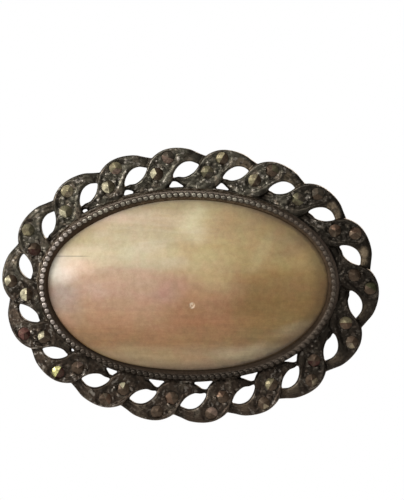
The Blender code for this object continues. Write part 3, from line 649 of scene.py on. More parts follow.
def mother_of_pearl():
    """Nacre: wavering growth bands with painted shade to the right, soft patches with a painted
    highlight at the left edge, fine growth lines and painted shade by the lip.
    """
    p = Painter("mother_of_pearl_nacre")
    warp = p.node("ShaderNodeTexNoise", Vector=p.place, Scale=0.16, Detail=4.0, Roughness=0.55)
    wavered = p.vector("MULTIPLY_ADD", warp.outputs["Color"], NACRE_WAVER, p.place)
    shell = p.vector("SUBTRACT", wavered, tuple(value / 2 for value in NACRE_WAVER))
    colour = nacre_patches(p, shell, nacre_bands(p, shell))
    streaks = p.noise(1.0, 4.0, 0.6, 0.5, vector=p.scaled((0.16, 0.4, 1.0), turn=(0, 0.05, 0)))
    colour = p.mix(p.ramp(streaks, 0.35, 0.68, 0.0, 0.30), colour, NACRE_STREAK, "SOFT_LIGHT")
    mottle = p.noise(1.1, 5.0, 0.7)
    colour = p.mix(p.ramp(mottle, 0.36, 0.66, 0.0, 0.22), colour, NACRE_MOTTLE, "MULTIPLY")
    tinge = p.ramp(p.noise(0.60, 3.0, 0.5, 0.4), 0.34, 0.66)
    colour = p.mix(1.0, colour, p.mix(tinge, *NACRE_TINGES), "SOFT_LIGHT")
    flakes = p.ramp(p.noise(1.7, 4.0, 0.65), 0.32, 0.68, 0.460, 0.550)
    colour = p.mix(1.0, colour, flakes, "SOFT_LIGHT")
    drawn = p.noise(1.0, 5.0, 0.7, vector=p.scaled((0.22, 0.5, 2.0), turn=(0, 0.08, 0)))
    colour = p.mix(p.ramp(p.z, 1.0, -6.0), colour, p.ramp(drawn, 0.35, 0.65, 0.458, 0.555),
                   "SOFT_LIGHT")
    grain = p.noise(6.5, 2.0, 0.6)
    colour = p.mix(1.0, colour, p.ramp(grain, 0.30, 0.70, 0.478, 0.545), "SOFT_LIGHT")

    above = p.math("ABSOLUTE", p.math("SUBTRACT", p.z, HAIRLINE_HEIGHT))
    hairline = p.times(p.ramp(above, 0.09, 0.02), p.ramp(p.x, -11.4, -13.2))
    colour = p.mix(p.times(hairline, 0.45), colour, NACRE_SHADE_AND_FLAW)

    # Painted shade along the lip, deepest at the lower right, away from the light.
    away = length_from(p, SETTING_MIDDLE, (PEARL_HALF_WIDTH, PEARL_HALF_HEIGHT))
    unevenness = p.ramp(lit_side(p), 0.10, -0.05, 0.030, 0.060)
    ragged = p.plus(away, p.times(p.math("SUBTRACT", p.noise(0.9, 4.0, 0.65), 0.5), unevenness))
    ragged = p.plus(ragged, 0.0175)
    lower_right = p.ramp(lit_side(p), 0.14, -0.06, 0.70, 1.0)
    rightward = p.larger(p.ramp(p.x, -11.0, -1.0, 0.25, 1.0), p.ramp(p.z, -4.5, -1.0))
    deep = p.times(p.ramp(ragged, 0.955, 1.035, 0.0, 0.9), lower_right, rightward)
    faint = p.times(p.ramp(ragged, 0.880, 1.000, 0.0, 0.50),
                    p.ramp(lit_side(p), 0.12, -0.10, 0.30, 1.0), rightward)
    colour = p.mix(p.larger(deep, faint), colour, NACRE_SHADE_AND_FLAW)
    chip = length_from(p, CHIP)
    broken = p.times(p.ramp(chip, CHIP_RADIUS, CHIP_RADIUS - 0.14),
                     p.ramp(chip, 0.06, 0.16, 0.25, 1.0),
                     p.ramp(p.noise(2.0, 3.0, 0.6), 0.42, 0.54, 0.15, 0.9))
    colour = p.mix(broken, colour, CHIP_COLOUR)
    growth = p.noise(1.0, 3.0, 0.5, 0.2, vector=p.scaled((0.25, 1.0, 3.0)))
    p.set(Base_Color=colour, Roughness=p.ramp(growth, 0.3, 0.7, 0.32, 0.42),
          Normal=p.bump(growth, 0.010, 0.35))
    p.set(Specular_IOR_Level=0.40, Coat_Weight=0.22, Coat_Roughness=0.30, IOR=1.53)
    return p.material


# Tints for the stones' facets: on glinting facets a tint is a painted reflection of the light; on
# the rest it is the tarnished stone, partly painted shade.
STONE_TINTS = {
    "cream": (0.66, 0.61, 0.42),
    "lemon": (0.60, 0.58, 0.24),
    "khaki": (0.30, 0.265, 0.160),
    "tan": (0.26, 0.215, 0.145),
    "olive": (0.135, 0.125, 0.075),
    "moss": (0.062, 0.068, 0.032),
    "rose": (0.235, 0.165, 0.130),
    "rust": (0.120, 0.072, 0.048),
    "wine": (0.125, 0.055, 0.047),
    "slate": (0.070, 0.061, 0.047),
    "umber": (0.068, 0.046, 0.031),
    "maroon": (0.050, 0.018, 0.016),
}
STONE_FILM = (0.085, 0.062, 0.044)       # brown film on the stones
STONE_RUBBED = (0.50, 0.44, 0.33)
STONE_SHEEN = (0.86, 0.70, 0.56)


def marcasite(name, tint):
    """Iron pyrites: a dull brassy mirror on each facet, brown where it has tarnished; on glinting
    facets its tint is a painted reflection.
    """
    p = Painter("marcasite_" + name)
    tarnish = p.ramp(p.noise(1.3, 3.0, 0.6), 0.44, 0.68, 0.0, 0.65)
    dull = tuple(0.40 * value for value in tint)
    edges = p.ramp(p.pointiness(), 0.52, 0.66)
    colour = p.mix(tarnish, tint, dull)
    colour = p.mix(p.times(edges, 0.22), colour, STONE_RUBBED)
    film = p.ramp(p.noise(1.9, 4.0, 0.65), 0.44, 0.64, 0.0, 0.60)
    colour = p.mix(film, colour, STONE_FILM)
    roughness = p.plus(p.ramp(p.noise(3.0, 3.0), 0.3, 0.7, 0.26, 0.44), p.times(film, 0.35))
    p.set(Base_Color=colour, Roughness=roughness, Metallic=0.55,
          Specular_Tint=STONE_SHEEN, Normal=p.bump(p.noise(5.0, 3.0), 0.02, 0.35))
    return p.material


def brushed(name, tint, along=(0.4, 6.0, 6.0)):
    """Drawn or filed metal with a fine grain and a little tarnish."""
    p = Painter(name)
    grain = p.noise(5.0, 3.0, 0.6, vector=p.scaled(along))
    spots = p.ramp(p.noise(0.8, 4.0, 0.65), 0.50, 0.76, 0.0, 0.6)
    edges = p.ramp(p.pointiness(), 0.52, 0.62, 0.0, 0.5)
    colour = p.mix(spots, p.mix(p.ramp(grain, 0.3, 0.7, 0.0, 0.35), tint, TARNISH), TARNISH)
    colour = p.mix(edges, colour, tuple(min(1.0, 1.4 * value) for value in tint))
    roughness = p.ramp(grain, 0.3, 0.7, 0.22, 0.42)
    p.set(Base_Color=colour, Roughness=roughness, Metallic=1.0,
          Normal=p.bump(grain, 0.006, 0.35))
    return p.material


CAST = cast_silver()
BEZEL = bezel_silver()
NACRE = mother_of_pearl()
STONES = {name: marcasite(name, tint) for name, tint in STONE_TINTS.items()}
NICKEL = brushed("nickel_silver_worn", NICKEL_GREY, (2.0, 2.0, 2.0))
WIRE = brushed("steel_wire_drawn", STEEL_GREY)
PLATE = brushed("silver_plate_back", PLATE_GREY, (0.25, 6.0, 6.0))


# ---------------------------------------------------------------- cast border
LEAF_ROWS = 150                          # sections along a leaf
LEAF_COLUMNS = 44                        # points across a leaf's top
HOLLOW_DEPTH = 0.32                      # the casting is scooped out behind its stones
EDGE_ROUND = 0.32                        # how far in from its edges a leaf is rounded
EDGE_HEIGHT = 0.70                       # height of a leaf's edge, as a share of its crown
RIM_WIDTH = 0.36
BED_DEPTH = 0.22
BED_REACH = (1.30, 0.95)                 # from the stones' line: where the bed starts, is full
TAIL = (0.66, 0.76)                      # where the striated tail fades in, root 0 to tip 1
GROOVE_PITCH = 0.52
GROOVE_DEPTH = 0.030
FOOT = (0.42, 0.25)                      # where the lowered foot fades in
FOOT_DEPTH = 0.06
RAIL_STEPS = 360
RAIL_TOP = 1.44
RAIL_OVERLAP = 0.4                       # the rail starts this far inside, and is cut to size
VOXEL = 0.10
BORDER_TRIANGLES = 185_000
# Each leaf's rubbed tip lies about the line between these: pitches along, mm out.
TIP_LINE = ((0.92, 1.42), (1.08, 1.08))
GRAINS_PER_STONE = 4
GRAIN_TURN = 0.5                         # how far a grain strays round its stone, in radians
GRAIN_REACH = (0.10, 0.22)               # from the stone's edge to a grain's middle
GRAIN_RADIUS = (0.26, 0.36)
GRAIN_TOP = (1.56, 1.66)
GRAIN_GAP = 0.05                         # least gap between two grains
GRAIN_LIMIT = 1.06                       # how far from the stones' line a grain may reach
GRAINS_PAST_STONE = 0.35                 # how far past the inner stone that line goes on
BED_PAST_STONE = 0.85                    # the same for the roughness of the bed
SKIN_COARSE = 0.026                      # roughness of the casting, in mm
SKIN_COARSE_IN_BED = 0.085
SKIN_WAVES = 0.020


def on_leaf(number, along, out):
    """A point in pitches along the rope and mm outside its line, from a leaf's own place."""
    return np.array(rope_xy(number + LEAF_DRIFT[number] + along, out))


def stone_centre(number, place):
    """Where a leaf's inner (0) or outer (1) stone stands."""
    return on_leaf(number, *STONE_PLACES[place])


def bed_line(number, past=0.0):
    """Ends of the line through a leaf's stones, carried on past the inner one by a share of it."""
    inner, outer = stone_centre(number, 0), stone_centre(number, 1)
    return inner + (inner - outer) * past, outer


def leaf_rows(position):
    """Catmull-Rom through the leaf's stations."""
    last = len(LEAF_STATIONS) - 1
    where = position * last
    i = np.minimum(where.astype(int), last - 1)
    share = (where - i)[:, None]
    before = LEAF_STATIONS[np.maximum(i - 1, 0)]
    start = LEAF_STATIONS[i]
    end = LEAF_STATIONS[i + 1]
    after = LEAF_STATIONS[np.minimum(i + 2, last)]
    return 0.5 * (2 * start + (end - before) * share
                  + (2 * before - 5 * start + 4 * end - after) * share ** 2
                  + (3 * start - before - 3 * end + after) * share ** 3)


def distance_to_segment(points, start, end):
    """How far flat points are from a straight line between two places."""
    along = end - start
    share = np.clip(((points - start) @ along) / (along @ along), 0.0, 1.0)
    return np.linalg.norm(points - (start + share[..., None] * along), axis=-1)


def leaf(number):
    """One leaf: smooth rims, a sunk bed for the two stones, and a striated tail."""
    position = np.linspace(0.0, 1.0, LEAF_ROWS)
    rows = leaf_rows(position)
    across = 0.5 - 0.5 * np.cos(np.linspace(0.0, math.pi, LEAF_COLUMNS))
    along = rows[:, 0:1] + (rows[:, 2:3] - rows[:, 0:1]) * across
    out = rows[:, 1:2] + (rows[:, 3:4] - rows[:, 1:2]) * across
    x, y = on_leaf(number, along, out)
    crown = rows[:, 4:5]
    width = np.hypot(x[:, -1] - x[:, 0], y[:, -1] - y[:, 0])[:, None]
    from_edge = np.minimum(across, 1 - across) * width
    short_of_crown = 1 - np.clip(from_edge / EDGE_ROUND, 0, 1)
    rounded = np.sqrt(np.clip(1 - short_of_crown ** 2, 0, 1))
    height = crown * (EDGE_HEIGHT + (1 - EDGE_HEIGHT) * rounded)
    flat = np.stack((x, y), axis=-1)
    to_stones = distance_to_segment(flat, *bed_line(number))
    bed = smoothstep(*BED_REACH, to_stones) * smoothstep(RIM_WIDTH - 0.22, RIM_WIDTH, from_edge)
    height -= BED_DEPTH * bed
    tail = smoothstep(*TAIL, position)[:, None]
    grooves = np.cos(2 * math.pi * (across * width) / GROOVE_PITCH)
    height += tail * GROOVE_DEPTH * (grooves - 1) * smoothstep(0.10, 0.30, from_edge)
    foot = smoothstep(*FOOT, position)[:, None]
    height -= FOOT_DEPTH * foot * smoothstep(0.2, 0.5, from_edge)
    floor = np.zeros((LEAF_ROWS, 1))
    x = np.concatenate((x[:, :1], x, x[:, -1:]), axis=1)
    y = np.concatenate((y[:, :1], y, y[:, -1:]), axis=1)
    height = np.concatenate((floor, height, floor), axis=1)
    vertices = np.stack((x, y, height), axis=-1).reshape(-1, 3)
    columns = LEAF_COLUMNS + 2
    faces = grid_faces(LEAF_ROWS, columns, close_columns=True)
    faces.append(tuple(range(columns))[::-1])
    faces.append(tuple(range((LEAF_ROWS - 1) * columns, LEAF_ROWS * columns)))
    obj = build_mesh("leaf", vertices, faces)
    fix_normals(obj)
    return obj


def web(number):
    """Low web that closes the small opening between a leaf, the next one and the rail."""
    along, out = WEB_PLACE
    middle = on_leaf(number, along, out)
    onward = on_leaf(number, along + 0.1, out) - middle
    shape = (Matrix.Translation((*middle, WEB_HEIGHT / 2))
             @ Matrix.Rotation(math.atan2(onward[1], onward[0]), 4, "Z")
             @ Matrix.Diagonal((*WEB_HALF_SIZE, 1.0, 1.0)))
    bm = bmesh.new()
    bmesh.ops.create_cone(bm, cap_ends=True, segments=36, radius1=1.0, radius2=0.92,
                          depth=WEB_HEIGHT, matrix=shape)
    return shells("web", [bm])


def merge(objects):
    """Put several closed shells in the first object."""
    bm = bmesh.new()
    for obj in objects:
        bm.from_mesh(obj.data)
    bm.to_mesh(objects[0].data)
    bm.free()
    for obj in objects[1:]:
        bpy.data.objects.remove(obj, do_unlink=True)
    return objects[0]


def ball(centre, radius):
    """One grain of metal."""
    bm = bmesh.new()
    shape = Matrix.Translation(centre) @ Matrix.Diagonal((radius, radius, radius, 1.0))
    bmesh.ops.create_icosphere(bm, subdivisions=2, radius=1.0, matrix=shape)
    return bm


def shells(name, parts):
    """An object of several closed bmeshes that don't touch one another."""
    mesh = bpy.data.meshes.new(name)
    whole = bmesh.new()
    for part in parts:
        part.to_mesh(mesh)
        whole.from_mesh(mesh)
        part.free()
    whole.to_mesh(mesh)
    whole.free()
    return put(name, mesh)


def held_by(number, spot, size):
    """Whether a grain stands on its leaf's bed, clear of the leaf's edges."""
    reach = distance_to_segment(np.array(spot[:2]), *bed_line(number, GRAINS_PAST_STONE))
    return reach + size < GRAIN_LIMIT


def grains():
    """Blobs of metal pushed up with a graver round each stone, which hold it."""
    spaced = []
    for number in range(LEAF_COUNT):
        for place in (0, 1):
            centre = stone_centre(number, place)
            other = stone_centre(number, 1 - place)
            towards = math.atan2(*(other - centre)[::-1])
            for k in range(GRAINS_PER_STONE):
                turn = towards + (k + 0.5) * 2 * math.pi / GRAINS_PER_STONE
                turn += dice.uniform(-GRAIN_TURN, GRAIN_TURN)
                reach = STONE_RADIUS + dice.uniform(*GRAIN_REACH)
                size = dice.uniform(*GRAIN_RADIUS)
                spot = (centre[0] + reach * math.cos(turn), centre[1] + reach * math.sin(turn),
                        dice.uniform(*GRAIN_TOP) - size)
                clear = all(math.dist(spot, near) > size + near_size + GRAIN_GAP
                            for near, near_size in spaced)
                if clear and held_by(number, spot, size):
                    spaced.append((spot, size))
    return [shells("grain", [ball(spot, size)]) for spot, size in spaced]


def cast_roughness(points):
    """Two kinds of unevenness of the cast skin, from -1 to 1: coarse grain and long waves."""
    coarse = value_noise(points, 0.42, 5) * 0.5 + value_noise(points, 0.23, 6) * 0.5
    waves = value_noise(points, 1.6, 7)
    return coarse, waves


def mark_tips(cast):
    """Mark the end of each leaf, rubbed pale where it runs under the next leaf."""
    points = coordinates(cast)
    share = np.zeros(len(points))
    for number in range(LEAF_COUNT):
        start, end = (on_leaf(number, *place) for place in TIP_LINE)
        away = distance_to_segment(points[:, :2], start, end)
        share = np.maximum(share, smoothstep(0.75, 0.25, away))
    share *= smoothstep(0.4, 0.7, points[:, 2])
    layer = cast.data.attributes.new("tip", "FLOAT", "POINT")
    layer.data.foreach_set("value", share.astype(np.float32))


def border():
    """The whole casting: rail, leaves, webs and grains in one skin, with the stones' seats cut."""
    rail_inner = BEZEL_OUTER + GAP
    rail_outer = rail_inner + RAIL_WIDTH
    rail_section = ((rail_inner - RAIL_OVERLAP, 0.0), (rail_outer, 0.0),
                    (rail_outer + 0.02, 1.15), (rail_outer - 0.03, 1.34),
                    (rail_outer - 0.10, RAIL_TOP), (rail_inner - RAIL_OVERLAP, RAIL_TOP))
    rail = sweep("rope_border_cast", rail_section, RAIL_STEPS)
    fix_normals(rail)
    webs = [web(number) for number in CLOSED_GAPS]
    cast = merge([rail] + [leaf(number) for number in range(LEAF_COUNT)] + webs + grains())
    remesh = cast.modifiers.new("skin", "REMESH")
    remesh.mode = "VOXEL"
    remesh.voxel_size = VOXEL
    soften = cast.modifiers.new("soften", "SMOOTH")
    soften.factor = 0.5
    soften.iterations = 2
    apply_modifiers(cast)

    points = coordinates(cast)
    coarse, waves = cast_roughness(points)
    nearest = np.full(len(points), 9.0)
    for number in range(LEAF_COUNT):
        away = distance_to_segment(points[:, :2], *bed_line(number, BED_PAST_STONE))
        nearest = np.minimum(nearest, away)
    in_bed = smoothstep(1.35, 0.95, nearest)
    up = smoothstep(0.9, 1.2, points[:, 2])
    points[:, 2] += up * (coarse * (SKIN_COARSE + SKIN_COARSE_IN_BED * in_bed) + waves * SKIN_WAVES)
    behind = smoothstep(0.30, 0.12, points[:, 2])
    hollow = smoothstep(1.05, 0.55, nearest) * HOLLOW_DEPTH
    points[:, 2] += behind * (hollow + 0.02 * (1 + waves) + 0.02 * coarse)
    points[:, 2] = np.clip(points[:, 2], 0.0, ROPE_TOP - 0.005)
    set_coordinates(cast, points)

    seats = []
    for number in range(LEAF_COUNT):
        for place in (0, 1):
            bm = bmesh.new()
            middle = (*stone_centre(number, place), SEAT_FLOOR + SEAT_DEPTH / 2)
            bmesh.ops.create_cone(bm, cap_ends=True, segments=36, radius1=SEAT_RADIUS - 0.02,
                                  radius2=SEAT_RADIUS, depth=SEAT_DEPTH,
                                  matrix=Matrix.Translation(middle))
            seats.append(bm)
    boolean(cast, shells("seats", seats), "DIFFERENCE")
    opening = [SETTING_MIDDLE + oval_xy(2 * math.pi * i / RAIL_STEPS, PEARL_HALF_WIDTH,
                                        PEARL_HALF_HEIGHT, rail_inner)
               for i in range(RAIL_STEPS)]
    boolean(cast, prism("opening", opening, -2.0, 4.0), "DIFFERENCE")
    triangles = sum(len(polygon.vertices) - 2 for polygon in cast.data.polygons)
    if triangles > BORDER_TRIANGLES:
        fewer = cast.modifiers.new("fewer", "DECIMATE")
        fewer.ratio = BORDER_TRIANGLES / triangles
        apply_modifiers(cast)
    mark_tips(cast)
    stand_up(cast, CAST, 55)
    add_piece(cast, "setting", "oxidised_silver", "rope_border")


def prism(name, outline, low, high):
    """An upright prism over a flat outline."""
    count = len(outline)
    vertices = [(x, y, low) for x, y in outline] + [(x, y, high) for x, y in outline]
    faces = [(i, (i + 1) % count, (i + 1) % count + count, i + count) for i in range(count)]
    faces += [tuple(range(count)), tuple(range(count, 2 * count))]
    obj = build_mesh(name, vertices, faces)
    fix_normals(obj)
    return obj


# ---------------------------------------------------------------- bezel with its milled beads
BEAD_COUNT = 126
BEAD_RADIUS = 0.30
BEAD_DEPTH = 0.34
BEAD_STRETCH_OUT = (0.98, 1.12)
BEAD_STRETCH_ALONG = (1.12, 1.22)
BEAD_SQUARENESS = 5                      # 2 would be a plain ball
BEAD_SLIP = 0.05                         # how far a bead strays along the line, in spacings
BEAD_STRAY = 0.015                       # and across it, in mm
BEAD_WEAR = (0.005, 0.05)                # how far a bead's top lies under the bezel's
BEZEL_STEPS = 504
# Section of the ring: mm out from the pearl's edge, height. It runs from the back up the outer
# wall, over the band for the beads and down the lip to the pearl.
BEZEL_SECTION = (
    (BEZEL_OUTER, BACK_OF_BEZEL), (BEZEL_OUTER, 1.38), (BEZEL_OUTER + 0.16, 1.42),
    (BEZEL_OUTER + 0.14, 1.50), (BEZEL_OUTER + 0.06, 1.60), (BEZEL_OUTER + 0.01, 1.80),
    (BEZEL_OUTER, 1.98), (1.20, 2.10), (1.14, 2.20),
    (1.10, 2.30), (1.02, 2.35), (0.74, 2.35), (0.66, 2.30), (0.56, 2.25), (0.44, 2.25),
    (0.28, 2.22), (0.14, 2.15), (0.04, 2.10), (0.0, 2.06), (0.0, 2.03),
    (0.10, 2.01), (0.50, 1.98), (0.50, BACK_OF_BEZEL))
LIP_REACH = 0.5                          # the lip is the part of the section inside this
BEAD_CLEARANCE = 0.25                    # the lip stretches to stay this far from the beads' line
LIP_WIDTH = 0.61                         # from the pearl's edge to there, on an even bezel
WALL_LUMPS = 0.035                       # unevenness of the outer wall and of the top, in mm
TOP_LUMPS = 0.014
# The bezel is uneven: (degrees clockwise from the top, reach in degrees, mm outwards).
LIP_WAVES = ((220, 24, 0.36), (288, 16, 0.08), (320, 18, -0.16), (142, 30, 0.36), (55, 30, 0.22))
BEAD_WAVES = ((322, 26, -0.20), (18, 20, -0.10), (142, 22, 0.26))
# Where the bezel's foot swells into a shoulder, and how far each height of the section moves.
SHOULDER_WAVES = ((110, 42, 1.0),)
SHOULDER_RISE = {1.42: 0.0, 1.50: 0.30, 1.60: 0.32, 1.80: 0.20, 1.98: 0.12, 2.10: 0.06}
SHOULDER_REACH = {1.42: 0.06, 1.50: 0.08, 1.60: 0.12, 1.80: 0.10, 1.98: 0.06, 2.10: 0.04}


def wavy(angle, waves):
    """A sum of smooth swellings round the oval."""
    degrees = np.degrees(angle) % 360
    return sum(out * np.exp(-((degrees - middle) / reach) ** 2) for middle, reach, out in waves)


def bead_out(angle):
    """The beads sit nearer the stone at the top and wander outwards at the lower corners."""
    even = np.minimum(0.86 - 0.14 * np.cos(angle) - 0.08 * np.cos(4 * angle), 1.0)
    return even + wavy(angle, BEAD_WAVES)


def bezel_outs(section, angles):
    """How far out each point of the section is at each angle, and the shoulder's share there."""
    out = np.tile(section[:, 0], (len(angles), 1))
    on_lip = (section[:, 1] > 2.0) & (section[:, 0] < 1.0)
    on_top = (section[:, 1] > 1.40) & (section[:, 0] > 1.0)
    beads_here = bead_out(angles)[:, None]
    bulge = np.maximum(0.0, beads_here - 1.0)
    inner = np.minimum(out, beads_here - 0.20) + bulge
    scaled = out * (np.minimum(beads_here, 1.0) - BEAD_CLEARANCE) / LIP_WIDTH
    lip = wavy(angles, LIP_WAVES)[:, None] * np.clip(1 - out / LIP_REACH, 0, 1)
    shoulder = np.clip(wavy(angles, SHOULDER_WAVES), 0.0, 1.0)[:, None]
    reach = np.array([SHOULDER_REACH.get(height, 0.0) for height in section[:, 1]])
    outside = out + np.where(on_top, 0.8 * bulge, 0.0) + shoulder * reach
    return np.where(on_lip, np.where(out < LIP_REACH, scaled, inner) + lip, outside), shoulder


def beads():
    """Worn, squarish beads in a line along the bezel's band."""
    line = OvalLine(PEARL_HALF_WIDTH, PEARL_HALF_HEIGHT, float(bead_out(0.8)))
    made = []
    for i in range(BEAD_COUNT):
        share = (i + dice.uniform(-BEAD_SLIP, BEAD_SLIP)) / BEAD_COUNT
        angle = float(line.angle(share))
        x, y = line.at(share, float(bead_out(angle)) + dice.uniform(-BEAD_STRAY, BEAD_STRAY))
        top = BEZEL_TOP - dice.uniform(*BEAD_WEAR)
        turn = math.atan2(PEARL_HALF_WIDTH * math.cos(angle), PEARL_HALF_HEIGHT * math.sin(angle))
        bm = bmesh.new()
        x, y = SETTING_MIDDLE + (float(x), float(y))
        bmesh.ops.create_icosphere(bm, subdivisions=3, radius=1.0)
        for vertex in bm.verts:
            reach = min(1.0, math.hypot(vertex.co.x, vertex.co.y))
            vertex.co.z = math.copysign(math.sqrt(1 - reach ** BEAD_SQUARENESS), vertex.co.z)
        half_size = (BEAD_RADIUS * dice.uniform(*BEAD_STRETCH_OUT),
                     BEAD_RADIUS * dice.uniform(*BEAD_STRETCH_ALONG), BEAD_DEPTH)
        bm.transform(Matrix.Translation((x, y, top - BEAD_DEPTH)) @ Matrix.Rotation(turn, 4, "Z")
                     @ Matrix.Diagonal((*half_size, 1.0)))
        made.append(bm)
    return shells("beads", made)


def bezel():
    """The collet: a swept ring with uneven walls, and its beads joined on."""
    section = np.array(BEZEL_SECTION)
    angles = 2 * math.pi * np.arange(BEZEL_STEPS) / BEZEL_STEPS
    out, shoulder = bezel_outs(section, angles)
    rise = np.array([SHOULDER_RISE.get(height, 0.0) for height in section[:, 1]])
    z = section[:, 1] + shoulder * rise
    x, y = oval_xy(angles[:, None], PEARL_HALF_WIDTH, PEARL_HALF_HEIGHT, out)
    lumps = value_noise(np.stack((x, y, z), axis=-1).reshape(-1, 3), 0.7, 23).reshape(x.shape)
    on_wall = (section[:, 1] > 1.45) & (section[:, 0] > 1.1)
    # The wall moves out by the lumps found at its even places, so x and y are worked out again.
    out = out + np.where(on_wall, WALL_LUMPS * lumps, 0.0)
    x, y = oval_xy(angles[:, None], PEARL_HALF_WIDTH, PEARL_HALF_HEIGHT, out)
    ring = build_mesh("bezel_milled", ring_vertices(x, y, z),
                      grid_faces(BEZEL_STEPS, len(section), True, True))
    fix_normals(ring)
    points = coordinates(ring)
    points[:, 2] += np.where(points[:, 2] > 2.0, TOP_LUMPS * value_noise(points, 0.6, 11), 0.0)
    set_coordinates(ring, points)
    boolean(ring, beads(), "UNION")
    stand_up(ring, BEZEL, 50)
    add_piece(ring, "setting", "oxidised_silver", "bezel")


# ---------------------------------------------------------------- mother-of-pearl
PEARL_RINGS = 84
PEARL_STEPS = 200
CHIP_DEPTH = 0.07
POLISH_WAVES = 0.02


def pearl():
    """A polished dome over an upright girdle, with a slightly uneven top and a tiny chip."""
    radii = np.sin(np.linspace(0.0, math.pi / 2, PEARL_RINGS))
    heights = PEARL_TOP - (PEARL_TOP - PEARL_GIRDLE_TOP) * radii ** 2
    edge = ((1.0, PEARL_GIRDLE_TOP - 0.10), (0.998, PEARL_BASE + 0.06), (0.992, PEARL_BASE))
    radii = np.concatenate((radii, [r for r, _ in edge]))
    heights = np.concatenate((heights, [h for _, h in edge]))
    angles = 2 * math.pi * np.arange(PEARL_STEPS) / PEARL_STEPS
    x = SETTING_MIDDLE[0] + GIRDLE_HALF_WIDTH * radii[1:, None] * np.sin(angles)
    y = SETTING_MIDDLE[1] + GIRDLE_HALF_HEIGHT * radii[1:, None] * np.cos(angles)
    z = np.broadcast_to(heights[1:, None], x.shape)
    body = np.stack((x, y, z), axis=-1).reshape(-1, 3)
    top = np.array([(*SETTING_MIDDLE, PEARL_TOP)])
    vertices = np.concatenate((top, body))
    unevenness = POLISH_WAVES * (1 + value_noise(vertices * (1, 1, 0), 6.0, 21))
    vertices[:, 2] -= unevenness * (vertices[:, 2] > PEARL_GIRDLE_TOP)
    rings = len(radii) - 1
    faces = [tuple(i + 1 for i in face) for face in grid_faces(rings, PEARL_STEPS,
                                                               close_columns=True)]
    faces += [(0, 1 + i, 1 + (i + 1) % PEARL_STEPS) for i in range(PEARL_STEPS)]
    last = 1 + (rings - 1) * PEARL_STEPS
    faces.append(tuple(range(last, last + PEARL_STEPS)))
    dome = build_mesh("pearl_dome", vertices, faces)
    bm = bmesh.new()
    bm.from_mesh(dome.data)
    for _ in range(3):
        near = [edge for edge in bm.edges if edge.verts[0].co.z > PEARL_GIRDLE_TOP
                and math.dist(edge.verts[0].co.xy, CHIP) < 2 * CHIP_RADIUS]
        bmesh.ops.subdivide_edges(bm, edges=near, cuts=1, use_grid_fill=True)
    for vertex in bm.verts:
        away = math.dist(vertex.co.xy, CHIP)
        if vertex.co.z > PEARL_GIRDLE_TOP and away < CHIP_RADIUS:
            vertex.co.z -= CHIP_DEPTH * float(smoothstep(CHIP_RADIUS, 0.08, away))
    bm.to_mesh(dome.data)
    bm.free()
    fix_normals(dome)
    stand_up(dome, NACRE, 50)
    add_piece(dome, "setting", "mother_of_pearl", "cabochon")


# ---------------------------------------------------------------- marcasites
STONE_GIRDLE_LOW = 1.34                  # lowest point of a facet
STONE_APEX = STONE_TOP - 0.02
STONE_FOOT = 0.88
STONE_TAPER = 0.93                       # the foot's radius, as a share of the girdle's
STONE_PIVOT = 1.3                        # height that a stone tilts about
STONE_TILT = 7                           # largest tilt each way, in degrees
FACETS = 6
ARC_POINTS = 7                           # points along a facet's rounded edge
# How each stone looks, inner then outer on each leaf: the tint painted on its glinting facets as a
# reflection of the light, the tint of the rest, partly painted shade, which way the glinting ones
# face (degrees anticlockwise from the right), how many there are.
STONE_LOOKS = (
    (("olive", "slate", 120, 4), ("khaki", "umber", 150, 3)),
    (("khaki", "umber", 150, 3), ("olive", "umber", 30, 2)),
    (("olive", "slate", 210, 4), ("slate", "umber", 90, 4)),
    (("rust", "umber", 90, 2), ("rust", "umber", 60, 3)),
    (("umber", "umber", 90, 2), ("moss", "umber", 60, 3)),
    (("khaki", "rust", 90, 3), ("tan", "umber", 270, 1)),
    (("umber", "maroon", 90, 3), ("tan", "umber", 330, 2)),
    (("khaki", "umber", 150, 3), ("tan", "umber", 300, 1)),
    (("rust", "umber", 120, 2), ("rose", "umber", 60, 3)),
    (("rust", "umber", 200, 3), ("umber", "umber", 90, 3)),
    (("cream", "umber", 100, 1), ("umber", "rust", 180, 4)),
    (("rose", "umber", 60, 1), ("lemon", "maroon", 150, 3)),
    (("cream", "umber", 150, 2), ("wine", "maroon", 150, 4)),
    (("cream", "umber", 180, 3), ("cream", "umber", 170, 2)),
    (("umber", "maroon", 90, 3), ("khaki", "olive", 240, 2)),
    (("cream", "olive", 220, 2), ("khaki", "tan", 120, 4)),
    (("cream", "olive", 190, 3), ("khaki", "rose", 110, 4)),
    (("cream", "umber", 170, 2), ("rose", "slate", 250, 3)),
)


